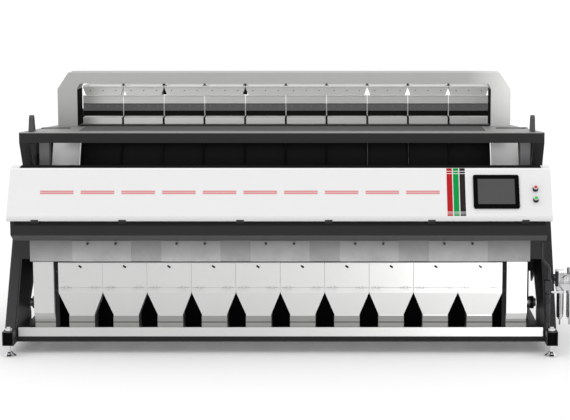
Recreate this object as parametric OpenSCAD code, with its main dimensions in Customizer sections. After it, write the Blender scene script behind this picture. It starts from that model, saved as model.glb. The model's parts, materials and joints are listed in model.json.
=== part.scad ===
// Optical colour sorter for grain, built around a bank of gravity chutes.
// X runs along the bank, +Y goes to the back, Z is height above the floor.
// Heights and depths below are measured from the floor and from the front of the foot rails.

/* [Chute bank] */
// Number of chutes side by side
chute_count = 10; // [8:2:12]
// Distance from one chute to the next
pitch = 320; // [310:1:330]
// Slope of the chutes from level, in degrees
chute_slope = 60; // [59:0.5:61]
// Length of a chute along its slope
chute_len = 900; // [880:5:910]
// Depth of the top end of the chutes
chute_top_y = 1455; // [1450:1:1460]
// Height of the top end of the chutes
chute_top_z = 1550; // [1545:1:1552]
// Height of the side walls of a chute
chute_wall_h = 30; // [20:1:40]
// Thickness of a chute floor
chute_t = 6; // [4:0.5:8]
// Gap between one chute and the next
chute_gap = 4; // [2:0.5:8]

/* [Side stands] */
// Room from the bank to the inside of a foot rail
side_room = 316; // [310:1:330]
// Width of a foot rail
rail_w = 80; // [76:1:90]
// Height of a foot rail
rail_h = 100; // [90:1:110]
// Height of the underside of a foot rail
rail_z = 83; // [75:1:90]
// Length of a foot rail
rail_len = 765; // [760:1:800]
// Wall of the square tubes
tube_wall = 5; // [4:0.5:6]
// Width of a front leg across the machine
leg_w = 71; // [66:1:74]
// Depth of a front leg, square to its length
leg_d = 80; // [70:1:86]
// Lean of a front leg from upright, in degrees
leg_lean = 32.5; // [31:0.5:34]
// Depth of the front edge of a leg where it stands on the rail
leg_y = 118; // [112:1:124]
// Height of the top of a front leg
leg_top = 900; // [880:5:920]
// Lean of a rear stay from upright, in degrees
stay_lean = 30.5; // [29:0.5:32]
// Depth of the back edge of a stay on the rail
stay_y = 752; // [740:1:758]
// Thickness of the side plates and gussets
plate_t = 12; // [10:0.5:14]
// Depth of the waist in a gusset
waist_y = 715; // [700:1:730]
// Height of the waist in a gusset
waist_z = 265; // [250:1:280]
// Depth where a gusset meets the side plate
gusset_tail_y = 945; // [930:1:960]

/* [Levelling feet] */
// Diameter of a threaded stud
stud_d = 28; // [24:1:32]
// Diameter of a foot pad
pad_d = 103; // [90:1:115]
// Height of a foot pad
pad_h = 34; // [28:1:40]
// Clearance of a stud in its bore, all round
stud_clear = 0.3; // [0.2:0.05:0.6]
// Depth of the front feet
front_foot_y = 45; // [40:1:55]
// Depth of the rear feet
rear_foot_y = 1440; // [1436:1:1444]
// Width of the lock nut across its flats
nut_af = 42; // [38:1:50]
// Thickness of the lock nut
nut_h = 22; // [18:1:26]

/* [Base frame] */
// Depth of the front face of the front cross beam
cross_y = 133; // [128:1:140]
// Depth of the cross beams, front to back
cross_d = 60; // [50:1:70]
// Height of the underside of the base beams
base_z = 87; // [84:1:92]
// Height of the front cross beam itself
cross_h = 39; // [34:1:46]
// Height of the side and rear base beams
base_h = 60; // [54:1:66]
// Depth of the back end of the base
base_back_y = 1480; // [1475:1:1490]
// Height of the stainless skirt
skirt_h = 66; // [56:1:76]
// Thickness of stainless sheet
sheet_t = 3; // [2.5:0.5:4]
// Gap from the skirt to a foot rail
skirt_gap = 14; // [10:1:20]

/* [Upper frame] */
// Width of columns and posts
col_w = 80; // [76:1:86]
// Depth of columns and posts, front to back
col_d = 80; // [70:1:86]
// Gap from a column to the side plate
col_gap = 13; // [10:1:18]
// Depth of the front columns
col_y = 1180; // [1175:1:1185]
// Depth of the rear columns
rear_col_y = 1400; // [1395:1:1402]
// Depth of the upper beam's front face
beam_y = 540; // [530:1:550]
// Height of the underside of the upper beam
beam_z = 1494; // [1490:1:1498]
// Height of the upper beam itself
beam_h = 72; // [66:1:78]
// Lean of a post from upright, in degrees
post_lean = 34.6; // [33:0.2:36]
// Height of the foot of a post
post_z = 1200; // [1180:5:1220]
// Overhang of a post past the side plate
post_over = 12; // [8:1:18]
// Thickness of the top deck
deck_t = 6; // [5:0.5:8]
// Depth of the deck's back edge beside the gantry
deck_back_y = 1160; // [1150:1:1170]
// Depth of the deck's back edge between the gantry columns
deck_mid_y = 1040; // [1030:1:1050]
// How far the deck draws in at its back corners
deck_draw = 200; // [194:1:206]
// Height of a deck rail
deck_rail_h = 66; // [60:1:70]
// Height of the arms from the columns to the deck rails
rail_arm_h = 30; // [26:1:34]
// Height of the rack beam behind the feeders, above the deck rails
rack_h = 80; // [70:1:90]
// Thickness of the rack beam and its uprights
rack_t = 30; // [24:1:36]
// Width of a rack upright
rack_post_w = 40; // [30:1:50]
// Thickness of a lifting lug
lug_t = 30; // [24:1:34]
// Height of a lifting lug
lug_h = 121; // [110:1:130]
// Radius of the hole in a lifting lug
lug_hole_r = 20; // [16:0.5:24]
// Distance of a lug from the end of the beam
lug_inset = 82; // [76:1:88]

/* [Gantry] */
// Gap from the bank edge to the gantry's inner face
gantry_in_draw = 20; // [16:1:24]
// Width of a gantry column
gantry_col_w = 150; // [144:1:160]
// Depth of the gantry's front face
gantry_y = 1065; // [1062:1:1070]
// Depth of the gantry, front to back
gantry_d = 265; // [258:1:268]
// Height of the top of the gantry
gantry_top = 1978; // [1960:1:1990]
// Height of the gantry's top member
gantry_beam_h = 82; // [74:1:90]
// Height of the chamfer on the outer corners
gantry_cut_h = 124; // [110:1:130]
// Width of the chamfer on the outer corners
gantry_cut_w = 83; // [75:1:90]
// Size of the chamfer on the inner corners
gantry_in_cut = 38; // [30:1:44]

/* [Feeders] */
// Depth of the front of the feed hoppers
feed_y = 1500; // [1498:0.5:1502]
// Depth of the back of the feed hoppers
feed_back_y = 1850; // [1840:1:1860]
// Height of a hopper spout above the tray floor
feed_lift = 100; // [96:1:104]
// Height of a hopper above its spout
feed_h = 150; // [145:1:160]
// Height of a hopper rim band
feed_rim_h = 14; // [10:1:18]
// Height of the straight part below the hopper taper
feed_neck_h = 71; // [66:1:76]
// How far a hopper draws in on each side
feed_draw = 24; // [20:1:30]
// Depth of the hopper spout's back
feed_spout_y = 1640; // [1620:1:1660]
// Height of the comb curtain's upper band
comb_band_h = 53; // [48:1:58]
// Length of the comb teeth
comb_tooth_h = 39; // [34:1:42]
// Number of teeth on a comb
comb_teeth = 24; // [16:1:28]
// Width of the slit between two teeth
comb_slit = 3; // [2:0.5:5]
// Height of a tray floor
tray_z = 1600; // [1598:0.5:1602]
// Thickness of a tray
tray_t = 4; // [3:0.5:5]
// Height of the walls of a tray
tray_wall_h = 80; // [70:1:86]
// Height of the nose of a tray
tray_nose_h = 47; // [44:1:48]
// Gap from the back of a tray to the rack beam
tray_back_gap = 54; // [44:1:64]
// How far the tray nose stands ahead of the hoppers
tray_nose_out = 60; // [56:0.5:64]
// Gap from the drive springs to the tray
spring_gap = 0.7; // [0.6:0.05:0.9]
// Height of the feeder beams
feeder_beam_h = 46; // [42:1:50]
// Distance of the front feeder beam behind the hoppers' front
feeder_beam_in = 60; // [55:1:65]
// Distance of the back feeder beam in front of the rack beam
feeder_beam_back = 150; // [145:1:160]
// Gap from the back of a drive to the rack beam
drive_back_gap = 90; // [84:1:100]
// Width of a feeder drive
drive_w = 200; // [180:1:240]
// Thickness of a drive's foot plate
drive_t = 8; // [6:0.5:10]
// Thickness of a leaf spring
leaf_t = 6; // [4:0.5:8]

/* [Front box and hood] */
// Depth of the front face of the front box
box_y = 40; // [36:1:44]
// Height of the lower edge of the front face
box_z = 882; // [876:1:888]
// Height of the upper edge of the front face
box_face_z = 978; // [974:1:979]
// Height of the underside of the front box
box_low_z = 836; // [832:1:840]
// How far the lower face of the front box slopes in
box_slope_d = 50; // [46:1:56]
// Thickness of the box walls
box_t = 4; // [3:0.5:5]
// Depth of the front box's floor
box_in_y = 300; // [290:1:310]
// Distance of the back edge of the front box's roof
box_roof_y = 420; // [410:1:430]
// Distance of the back of the front box
box_back_y = 700; // [690:1:710]
// Drop of the front box's roof below the hood
roof_drop = 12; // [10:0.5:14]
// Height of the hood's lower lip
lip_h = 36; // [30:1:40]
// Height of the underside of the hood lip
lip_z = 990; // [988:1:994]
// Depth of the top of the hood's face
hood_top_y = 212; // [206:1:218]
// Height of the top of the hood's face
hood_top_z = 1345; // [1343:1:1350]
// Depth of the hood hinge
hood_hinge_y = 320; // [318:1:324]
// Height of the hood hinge
hood_hinge_z = 1344; // [1343.5:0.5:1346]
// Thickness of the hood sheet
hood_t = 3; // [2.5:0.5:4]
// Overhang of the hood past the side plates
hood_over = 20; // [16:1:26]
// Radius of the hood hinge pins
hinge_pin_r = 6; // [5:0.5:7]
// Running clearance of a hinge pin, all round
pin_clear = 0.06; // [0.03:0.01:0.1]
// Length of a hinge knuckle
knuckle_len = 60; // [50:1:70]
// Depth of a hinge bracket's foot
hinge_foot_d = 54; // [50:1:58]
// Depth of a hinge bracket's head
hinge_head_d = 20; // [18:1:24]
// Width of a hood latch
latch_w = 54; // [48:1:60]

/* [Screen and buttons] */
// Distance of the screen's centre from the hood's right end
screen_inset = 396; // [380:1:410]
// Width of the screen bezel
bezel_w = 329; // [310:1:350]
// Height of the screen bezel
bezel_h = 266; // [250:1:280]
// How far the bezel stands off the hood
bezel_t = 12; // [8:0.5:15]
// Corner radius of the bezel
bezel_r = 14; // [8:1:20]
// Width of the bezel's border at the sides
border_w = 32; // [26:1:38]
// Width of the bezel's border at top and bottom
border_h = 32; // [26:1:38]
// Height up the hood face of the screen's centre
screen_up = 190; // [180:1:196]
// Distance of the buttons from the hood's right end
button_inset = 115; // [110:1:125]
// Height up the hood face of the green button
green_up = 127; // [120:1:135]
// Distance from the green button up to the red one
button_step = 86; // [80:1:92]
// Diameter of a button bezel
button_d = 34; // [30:1:38]
// How far a button bezel stands off the hood
button_out = 34; // [28:1:40]
// Diameter of a button cap
cap_d = 22; // [18:1:24]
// Travel of a button
button_travel = 4; // [3:0.5:5]

/* [Ejector band] */
// Height of the lower edge of the band
band_z = 681; // [679:1:685]
// Depth of the band's front face
band_y = 91; // [90.5:0.5:93]
// How far the band runs past the end ducts
band_over = 20; // [14:1:24]
// Width of an access cover
cover_w = 424; // [400:1:440]
// Edge of band left round an access cover
cover_edge = 3; // [2:0.5:5]
// Diameter of a cover knob
knob_d = 18; // [14:1:22]
// Distance between the two knobs of a cover
knob_span = 202; // [180:1:220]

/* [Discharge hoppers] */
// Depth of the hopper front
hopper_y = 100; // [99:0.5:101]
// Depth of the hopper outlet's front
outlet_y = 145; // [138:1:150]
// Depth of the hopper outlet, front to back
outlet_d = 185; // [170:1:200]
// Width of a hopper outlet
outlet_w = 180; // [170:1:190]
// Height of the outlet's lower end
outlet_z = 150; // [145:1:160]
// Height where the taper reaches the outlet
throat_z = 284; // [275:1:292]
// Height where the taper starts
taper_z = 452; // [444:1:460]
// Height of the door hinge line
door_z = 490; // [482:1:496]
// Height of the hopper's top edge
hopper_top = 676; // [672:1:678]
// Height where the hopper floor starts at the back
floor_z = 600; // [590:1:610]
// Depth of the partition behind the hoppers
partition_y = 930; // [926:1:934]
// Height of the edge that parts good grain from rejects
split_z = 615; // [605:1:622]
// Width of the reject outlet
reject_w = 130; // [120:1:140]
// Height of the top of the reject outlet's walls
reject_top = 470; // [465:1:474]
// Gap between hoppers, and round each door
hopper_gap = 4; // [3:0.5:6]
// Radius of a door hinge pin
door_pin_r = 3; // [2.5:0.5:4]
// Distance of each door hinge from the middle
door_hinge_x = 102; // [90:1:112]
// Height of the finger hole in a door
finger_z = 645; // [635:1:650]
// Gap from the bank to an end duct
duct_gap = 32; // [28:1:40]
// Width of an end duct
duct_w = 145; // [135:1:150]

/* [Optics] */
// Distance from the chute end to the view line
view_drop = 60; // [50:1:66]
// Distance of the front window from the view line
front_window_off = 130; // [124:1:136]
// Distance of the rear window from the view line
rear_window_off = 110; // [104:1:116]
// Half height of a window wall
window_half = 70; // [66:1:74]
// Half height of the clear glass
glass_half = 42; // [36:1:48]
// Thickness of a window glass
glass_t = 6; // [5:0.5:8]
// Distance of the front cameras from the view line
front_cam_off = 560; // [540:5:580]
// Distance of the rear cameras from the view line
rear_cam_off = 330; // [325:1:335]
// Side of a camera body
cam_side = 60; // [50:1:64]
// Length of a camera body
cam_len = 90; // [80:1:95]
// Radius of a lamp tube
lamp_r = 16; // [13:0.5:18]
// Distance of the lamps behind a window
lamp_off = 90; // [84:1:96]
// Distance of a front lamp from the view, along the window
front_lamp_step = 60; // [55:1:65]
// Distance of a rear lamp from the view, along the window
rear_lamp_step = 45; // [42:1:50]
// Radius of a wiper rail
wiper_rail_r = 8; // [7:0.5:9]
// Gap from a wiper blade to the glass
blade_gap = 0.5; // [0.3:0.1:0.8]
// Distance of the front wiper rail behind the front glass
front_rail_off = 41; // [38:0.5:44]
// Distance of the rear wiper rail in front of the rear glass
rear_rail_off = 31; // [28:0.5:34]
// Distance of the rear wiper rail below the middle of the rear glass
rear_rail_drop = 52; // [48:1:56]
// Distance of the parked wipers outside the bank
wiper_park = 60; // [50:1:70]
// Depth of the ejector bar
ejector_d = 60; // [50:1:64]
// Height of the ejector bar
ejector_h = 50; // [44:1:56]
// Distance from the front of the ejector bar to the partition
ejector_set = 80; // [76:1:84]
// Radius of the air channel in the ejector bar
ejector_bore_r = 16; // [12:0.5:18]
// Thickness of an ejector nozzle strip
nozzle_t = 8; // [6:0.5:10]

/* [Air supply] */
// Radius of the air reservoir
tank_r = 45; // [40:1:50]
// Depth of the air reservoir
tank_y = 700; // [690:1:710]
// Height of the air reservoir
tank_z = 270; // [260:1:280]
// Height of the middle of the air unit
air_z = 470; // [460:1:480]
// Depth of the middle of the air unit
air_y = 350; // [345:1:355]
// Distance from the leg to the first bowl
air_off = 52; // [48:1:58]
// Distance between the two bowls
bowl_span = 72; // [70:1:78]
// Radius of a bowl's collar
bowl_r = 31; // [28:0.5:33]
// Length of a bowl
bowl_len = 200; // [190:1:206]
// Length of a bowl's drain cone
drain_h = 20; // [16:1:22]
// Radius of a drain cock
drain_r = 7; // [5:0.5:9]
// Radius of the shutoff valve's body
valve_r = 13; // [11:0.5:15]
// Height of the shutoff valve's body
valve_h = 111; // [100:1:120]
// Radius of the shutoff valve's stem
stem_r = 7; // [6:0.5:9]
// Height of the shutoff valve's stem
stem_h = 10; // [8:0.5:12]
// Radius of the threaded air inlet
inlet_r = 9.3; // [8:0.1:11]
// Radius of the air hose
hose_r = 11; // [9:0.5:12]
// Bend radius of the air hose
hose_bend = 50; // [46:1:56]

/* [Control cabinet] */
// Width of the control cabinet
cabinet_w = 900; // [800:10:1000]
// Depth of the control cabinet
cabinet_d = 220; // [200:1:240]
// Height of the cabinet's underside
cabinet_z = 620; // [600:1:640]
// Height of the cabinet itself
cabinet_h = 760; // [720:1:780]
// Radius of the cable gland hole
gland_r = 12.5; // [10:0.5:16]
// Height of the rails that carry the cabinet
cabinet_rail_h = 100; // [80:1:120]
// Depth of the rails that carry the cabinet
cabinet_rail_d = 30; // [24:1:40]

/* [Hidden] */
$fn = 48;

dark_paint = "#3a3a3c";
steel = "#c4c4c0";
white_paint = "#eeeeee";
black = "#141416";
chrome = "#d8d8da";

// Distances across the machine, from the middle plane
bank_half = chute_count * pitch / 2;
stand_in = bank_half + side_room;
stand_out = stand_in + rail_w;
leg_in = stand_out - leg_w;
plate_in = leg_in - plate_t;
col_out = plate_in - col_gap;
col_in = col_out - col_w;
post_out = leg_in + post_over;
post_in = post_out - col_w;
duct_in = bank_half + duct_gap;
duct_out = duct_in + duct_w;
band_half = duct_out + band_over;
hood_half = leg_in + hood_over;
gantry_in = bank_half - gantry_in_draw;
gantry_out = gantry_in + gantry_col_w;
deck_rail_in = gantry_out - col_w;
screen_x = hood_half - screen_inset;
button_x = hood_half - button_inset;

// Heights
rail_top = rail_z + rail_h;
base_top = base_z + base_h;
cross_top = base_z + cross_h;
beam_top = beam_z + beam_h;
deck_top = beam_top + deck_t;
deck_rail_top = beam_z + deck_rail_h;
feed_spout_z = tray_z + feed_lift;
feed_neck_z = feed_spout_z + feed_neck_h;
feed_top = feed_spout_z + feed_h;
foot_mid_y = (front_foot_y + rear_foot_y) / 2;
small = 1;
seat_gap = 0.1;

// The chute direction, the way up off its surface, and the view point below its end
down = [-cos(chute_slope), -sin(chute_slope)];
off = [-sin(chute_slope), cos(chute_slope)];
chute_top = [chute_top_y, chute_top_z];
chute_end = chute_top + down * chute_len;
view = chute_end + down * view_drop;
front_window = view + off * front_window_off;
rear_window = view - off * rear_window_off;

// The hood's face: its foot, its direction upwards and the way out of it
face_foot = [0, lip_z + lip_h];
face_top = [hood_top_y, hood_top_z];
face_up = (face_top - face_foot) / norm(face_top - face_foot);
face_out = [-face_up[1], face_up[0]];
face_tilt = atan2(face_up[0], face_up[1]);

// Side view outlines
leg_run = leg_d / cos(leg_lean);
stay_run = leg_d / cos(stay_lean);
leg_back = leg_y + leg_run;
plate_tail = [1160, 350];
plate_fall = (box_z - plate_tail[1]) / (plate_tail[0] - box_y);
function plate_edge(y) = box_z - plate_fall * (y - box_y);
function leg_line(z) = leg_y + tan(leg_lean) * (z - rail_top);
leg_meet_y = (leg_y + tan(leg_lean) * (box_z + plate_fall * box_y - rail_top))
    / (1 + tan(leg_lean) * plate_fall);
post_shift = tan(post_lean) * (beam_z - post_z);

// A straight wall in an outline, from p to q, with its thickness on the left of travel
function wall(p, q, t) = let (d = (q - p) / norm(q - p), n = [-d[1], d[0]])
    [p, q, q + n * t, p + n * t];

// The way a line from p to q has on its left
function left_of(p, q) = let (d = (q - p) / norm(q - p)) [-d[1], d[0]];

// The point of an open outline moved to the left by t, with its corners kept sharp
function moved(p, i, t) = let (
    last = len(p) - 1,
    a = left_of(p[max(i - 1, 0)], p[max(i, 1)]),
    b = left_of(p[min(i, last - 1)], p[min(i + 1, last)])) p[i] + (a + b) * t / (1 + a * b);

// A folded sheet along an open outline, with its thickness on the left of travel
function folded(p, t) = concat(p, [for (i = [len(p) - 1 : -1 : 0]) moved(p, i, t)]);

// A closed outline moved to the left by t
function drawn_in(p, t) = let (q = concat([p[len(p) - 1]], p, [p[0]]))
    [for (i = [1 : len(p)]) moved(q, i, t)];

module place() translate([0, -foot_mid_y, 0]) children();

module both() for (side = [0, 1]) mirror([side, 0, 0]) children();

module slab(lo, hi) translate(lo) cube(hi - lo);

// A side view outline, (depth, height), drawn out from x0 to x1
module across(outline, x0, x1)
    translate([x0, 0, 0]) rotate([90, 0, 90]) linear_extrude(x1 - x0) polygon(outline);

// A front view outline, (x, height), drawn out from y0 to y1
module deep(outline, y0, y1)
    translate([0, y1, 0]) rotate([90, 0, 0]) linear_extrude(y1 - y0) polygon(outline);

module rod(x0, x1, p, r)
    translate([x0, p[0], p[1]]) rotate([0, 90, 0]) cylinder(h = x1 - x0, r = r);

module each_chute()
    for (i = [0 : chute_count - 1]) translate([(i - (chute_count - 1) / 2) * pitch, 0, 0]) children();

// Places a piece on the hood's face, with its own Z pointing out of the face
module on_face(x, up)
    translate([x, face_foot[0] + face_up[0] * up, face_foot[1] + face_up[1] * up])
        rotate([90 - face_tilt, 0, 0]) translate([0, 0, seat_gap]) children();

// Side stands

function leg_outline(inset, lo, hi) = let (i = inset / cos(leg_lean)) [
    [leg_line(lo) + i, lo], [leg_line(lo) + leg_run - i, lo],
    [leg_line(hi) + leg_run - i, hi], [leg_line(hi) + i, hi]];

function stay_outline() = let (
    t_leg = tan(leg_lean), t_stay = tan(stay_lean), front = stay_y - stay_run,
    h_back = (stay_y - leg_back) / (t_leg + t_stay),
    h_front = (front - leg_back) / (t_leg + t_stay)) [
    [front, rail_top], [stay_y, rail_top],
    [stay_y - t_stay * h_back, rail_top + h_back], [front - t_stay * h_front, rail_top + h_front]];

gusset_outline = [
    [leg_y + plate_t, rail_top], [stay_y, rail_top], [waist_y, waist_z],
    [gusset_tail_y, plate_edge(gusset_tail_y)], [leg_meet_y, plate_edge(leg_meet_y)]];

module side_stands() color(dark_paint) place() both() {
    difference() {
        slab([stand_in, 0, rail_z], [stand_out, rail_len, rail_top]);
        slab([stand_in + tube_wall, -small, rail_z + tube_wall],
            [stand_out - tube_wall, rail_len + small, rail_top - tube_wall]);
        translate([(stand_in + stand_out) / 2, front_foot_y, 0])
            cylinder(h = rail_top + small, r = stud_d / 2 + stud_clear);
    }
    difference() {
        across(leg_outline(0, rail_top, leg_top), leg_in, stand_out);
        across(leg_outline(tube_wall, rail_top + tube_wall, leg_top + small),
            leg_in + tube_wall, stand_out - tube_wall);
    }
    across(stay_outline(), leg_in, stand_out);
    across(gusset_outline, plate_in, leg_in);
}

// The front ends of the rails are open, the back ends are capped
module rail_caps() color(black) place() both()
    slab([stand_in + tube_wall, rail_len - tube_wall, rail_z + tube_wall],
        [stand_out - tube_wall, rail_len, rail_top - tube_wall]);

foot_x = (stand_in + stand_out) / 2;
rear_foot_x = (col_in + col_out) / 2;

// One levelling foot: a bell pad and its stud
module levelling_foot(x, y, seat_z) color(chrome) place() translate([x, y, 0]) {
    rotate_extrude() polygon([
        [0, 0], [pad_d / 2, 0], [pad_d / 2, pad_h * 0.2], [pad_d * 0.34, pad_h * 0.55],
        [stud_d * 0.72, pad_h], [0, pad_h]]);
    cylinder(h = seat_z + nut_h + stud_d * 0.4, d = stud_d);
}

module foot_front_left() levelling_foot(-foot_x, front_foot_y, rail_top);
module foot_front_right() levelling_foot(foot_x, front_foot_y, rail_top);
module foot_rear_left() levelling_foot(-rear_foot_x, rear_foot_y, base_top);
module foot_rear_right() levelling_foot(rear_foot_x, rear_foot_y, base_top);

module foot_nuts() color(chrome) place() both()
    for (seat = [[foot_x, front_foot_y, rail_top], [rear_foot_x, rear_foot_y, base_top]])
        translate(seat) difference() {
            cylinder(h = nut_h, d = nut_af / cos(30), $fn = 6);
            translate([0, 0, -small]) cylinder(h = nut_h + 2 * small, r = stud_d / 2 + stud_clear);
        }

// Base and upper frames

// Upright bars stand between the end ducts and the bank, and an apron closes the gaps behind the outlets
bar_clear = 2;
bar_front = cross_y + 10;
bar_d = 40;
apron_clear = 1;
apron_y = outlet_y + outlet_d + 10;
apron_top = taper_z - 27;
apron_foot_h = 14;

module base_frame() color(dark_paint) place() {
    difference() {
        slab([-stand_in, cross_y, base_z], [stand_in, cross_y + cross_d, cross_top]);
        slab([-stand_in - small, cross_y + tube_wall, base_z + tube_wall],
            [stand_in + small, cross_y + cross_d - tube_wall, cross_top - tube_wall]);
    }
    both() difference() {
        slab([col_in, cross_y + cross_d, base_z], [col_out, base_back_y, base_top]);
        slab([col_in + tube_wall, cross_y + cross_d + tube_wall, base_z + tube_wall],
            [col_out - tube_wall, base_back_y + small, base_top - tube_wall]);
        translate([rear_foot_x, rear_foot_y, 0])
            cylinder(h = base_top + small, r = stud_d / 2 + stud_clear);
    }
    rear_beam_y = base_back_y - cross_d;
    difference() {
        slab([-col_in, rear_beam_y, base_z], [col_in, base_back_y, base_top]);
        slab([-col_in + tube_wall, rear_beam_y + tube_wall, base_z - small],
            [col_in - tube_wall, base_back_y - tube_wall, base_top - tube_wall]);
    }
    both() slab([bank_half + bar_clear, bar_front, cross_top],
        [duct_in - bar_clear, bar_front + bar_d, band_z]);
    difference() {
        slab([-duct_out, apron_y, base_top], [duct_out, apron_y + sheet_t, apron_top]);
        each_chute() hopper_form(-apron_clear, outlet_z - small, hopper_top);
    }
    both() slab([duct_out - col_w, apron_y, base_top],
        [rear_foot_x, apron_y + sheet_t, base_top + apron_foot_h]);
}

// Chute carrier bars lie under the chutes, the upper one between the front columns
carrier_side = 40;
carrier_upper = (chute_top_y - col_y - carrier_side) / cos(chute_slope);
carrier_lower = chute_len - 100;
feeder_beam_places = [feed_y + feeder_beam_in, feed_back_y - feeder_beam_back];
function carrier_outline(s) = let (p = chute_top + down * s - off * (chute_t + seat_gap)) [
    p, p + down * carrier_side, p + down * carrier_side - off * carrier_side,
    p - off * carrier_side];

post_outline = [
    [beam_y, beam_z], [beam_y + col_d, beam_z],
    [beam_y + col_d + post_shift, post_z], [beam_y + post_shift, post_z]];

module column(y) difference() {
    slab([col_in, y, base_top], [col_out, y + col_d, beam_z]);
    slab([col_in + tube_wall, y + tube_wall, base_top + tube_wall],
        [col_out - tube_wall, y + col_d - tube_wall, beam_z - tube_wall]);
    slab([col_in - small, y + col_d / 3, base_top + col_d],
        [col_in + tube_wall + small, y + col_d * 2 / 3, base_top + col_d * 2]);
}

module upper_frame() color(dark_paint) place() {
    rack_back = feed_back_y + rack_t;
    slab([-post_out, beam_y, beam_z], [post_out, beam_y + col_d, beam_top]);
    both() {
        across(post_outline, post_in, post_out);
        slab([deck_rail_in, beam_y + col_d, beam_z], [gantry_out, rack_back, deck_rail_top]);
        for (y = [col_y, rear_col_y])
            slab([deck_rail_in, y, beam_z], [col_out, y + col_d, beam_z + rail_arm_h]);
        column(col_y);
        difference() {
            column(rear_col_y);
            translate([rear_foot_x, rear_foot_y, 0])
                cylinder(h = base_top + nut_h + stud_d, d = nut_af + stud_d);
        }
    }
    slab([-gantry_out, col_y + col_d, beam_z], [gantry_out, gantry_y + gantry_d, deck_rail_top]);
    for (y = feeder_beam_places)
        slab([-gantry_out, y, beam_z], [gantry_out, y + carrier_side, beam_z + feeder_beam_h]);
    slab([-gantry_out, feed_back_y, beam_z], [gantry_out, rack_back, deck_rail_top + rack_h]);
    each_chute() slab([-rack_post_w / 2, feed_back_y, deck_rail_top],
        [rack_post_w / 2, rack_back, feed_top]);
    across(carrier_outline(carrier_upper), -col_in, col_in);
    across(carrier_outline(carrier_lower), -plate_in, plate_in);
}

plate_rear_z = 900;
plate_heel = [170, 290];
spacer_drop = 200;
side_outline = [
    [box_y, box_z], plate_tail, plate_tail + plate_heel,
    [rear_col_y + col_d, plate_rear_z], [rear_col_y + col_d, beam_z],
    [beam_y + col_d, beam_z], [beam_y + col_d + post_shift, post_z],
    [beam_y - 60, post_z], [box_y, box_face_z]];

module side_plates() color(dark_paint) place() both() {
    across(side_outline, plate_in, leg_in);
    for (z = [beam_z - spacer_drop, box_z])
        slab([col_out, col_y, z], [plate_in, col_y + col_d, z + col_d]);
}

module top_deck() color(steel) place() {
    back_x = post_out - deck_draw;
    gantry_back = gantry_y + gantry_d;
    translate([0, 0, beam_top]) linear_extrude(deck_t) polygon([
        [-post_out, beam_y], [post_out, beam_y], [back_x, deck_back_y], [gantry_out, deck_back_y],
        [gantry_out, gantry_back], [gantry_in, gantry_back], [gantry_in, deck_mid_y],
        [-gantry_in, deck_mid_y], [-gantry_in, gantry_back], [-gantry_out, gantry_back],
        [-gantry_out, deck_back_y], [-back_x, deck_back_y]]);
    both() slab([deck_rail_in, beam_y + col_d, deck_rail_top], [gantry_out, gantry_back, beam_top]);
}

module lifting_lugs() color(dark_paint) place() both() {
    lug_x = post_out - lug_inset;
    lug_y = beam_y + col_d * 1.1;
    top_r = lug_h * 0.34;
    difference() {
        union() {
            across([[lug_y - lug_h * 0.6, deck_top], [lug_y + lug_h * 0.6, deck_top],
                [lug_y + top_r, deck_top + lug_h - top_r], [lug_y - top_r, deck_top + lug_h - top_r]],
                lug_x - lug_t / 2, lug_x + lug_t / 2);
            rod(lug_x - lug_t / 2, lug_x + lug_t / 2, [lug_y, deck_top + lug_h - top_r], top_r);
        }
        rod(lug_x - lug_t, lug_x + lug_t, [lug_y, deck_top + lug_h - top_r], lug_hole_r);
    }
}

function gantry_outline(t) = [
    [gantry_out - t, deck_top], [gantry_out - t, gantry_top - gantry_cut_h],
    [gantry_out - gantry_cut_w - t / 2, gantry_top - t],
    [-gantry_out + gantry_cut_w + t / 2, gantry_top - t],
    [-gantry_out + t, gantry_top - gantry_cut_h], [-gantry_out + t, deck_top],
    [-gantry_in - t, deck_top], [-gantry_in - t, gantry_top - gantry_beam_h - gantry_in_cut + t],
    [-gantry_in + gantry_in_cut * 0.6, gantry_top - gantry_beam_h + t],
    [gantry_in - gantry_in_cut * 0.6, gantry_top - gantry_beam_h + t],
    [gantry_in + t, gantry_top - gantry_beam_h - gantry_in_cut + t], [gantry_in + t, deck_top]];

module gantry() color(steel) place() difference() {
    deep(gantry_outline(0), gantry_y, gantry_y + gantry_d);
    deep(gantry_outline(sheet_t), gantry_y + sheet_t, gantry_y + gantry_d + small);
}

module front_skirt() color(steel) place() {
    half = stand_in - skirt_gap;
    slab([-half, cross_y, cross_top], [half, cross_y + sheet_t, cross_top + skirt_h]);
    slab([-half, cross_y, cross_top + skirt_h - sheet_t],
        [half, cross_y + sheet_t * 3, cross_top + skirt_h]);
}

// Discharge side

duct_bend_z = throat_z + 21;
function duct_outline(t, lo, hi) = [
    [band_y + sheet_t + t, hi], [band_y + sheet_t + t, duct_bend_z],
    [outlet_y + t, duct_bend_z - 55], [outlet_y + t, lo],
    [outlet_y + outlet_d - t, lo], [outlet_y + outlet_d - t, hi]];

module end_ducts() color(steel) place() both() {
    duct_hi = band_z + 40;
    difference() {
        across(duct_outline(0, outlet_z, duct_hi), duct_in, duct_out);
        across(duct_outline(sheet_t, outlet_z - small, duct_hi + small),
            duct_in + sheet_t, duct_out - sheet_t);
    }
}

function hopper_front(t, lo, hi) = let (top = pitch / 2 - hopper_gap / 2 - t, low = outlet_w / 2 - t) [
    [-top, hi], [-top, taper_z], [-low, throat_z], [-low, lo],
    [low, lo], [low, throat_z], [top, taper_z], [top, hi]];
function hopper_side(t, lo, hi) = [
    [hopper_y + t, hi], [hopper_y + t, taper_z], [outlet_y + t, throat_z], [outlet_y + t, lo],
    [outlet_y + outlet_d - t, lo], [outlet_y + outlet_d - t, throat_z],
    [partition_y - t, floor_z], [partition_y - t, hi]];

module hopper_form(t, lo, hi) intersection() {
    deep(hopper_front(t, lo, hi), hopper_y, partition_y);
    across(hopper_side(t, lo, hi), -pitch / 2, pitch / 2);
}

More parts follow.
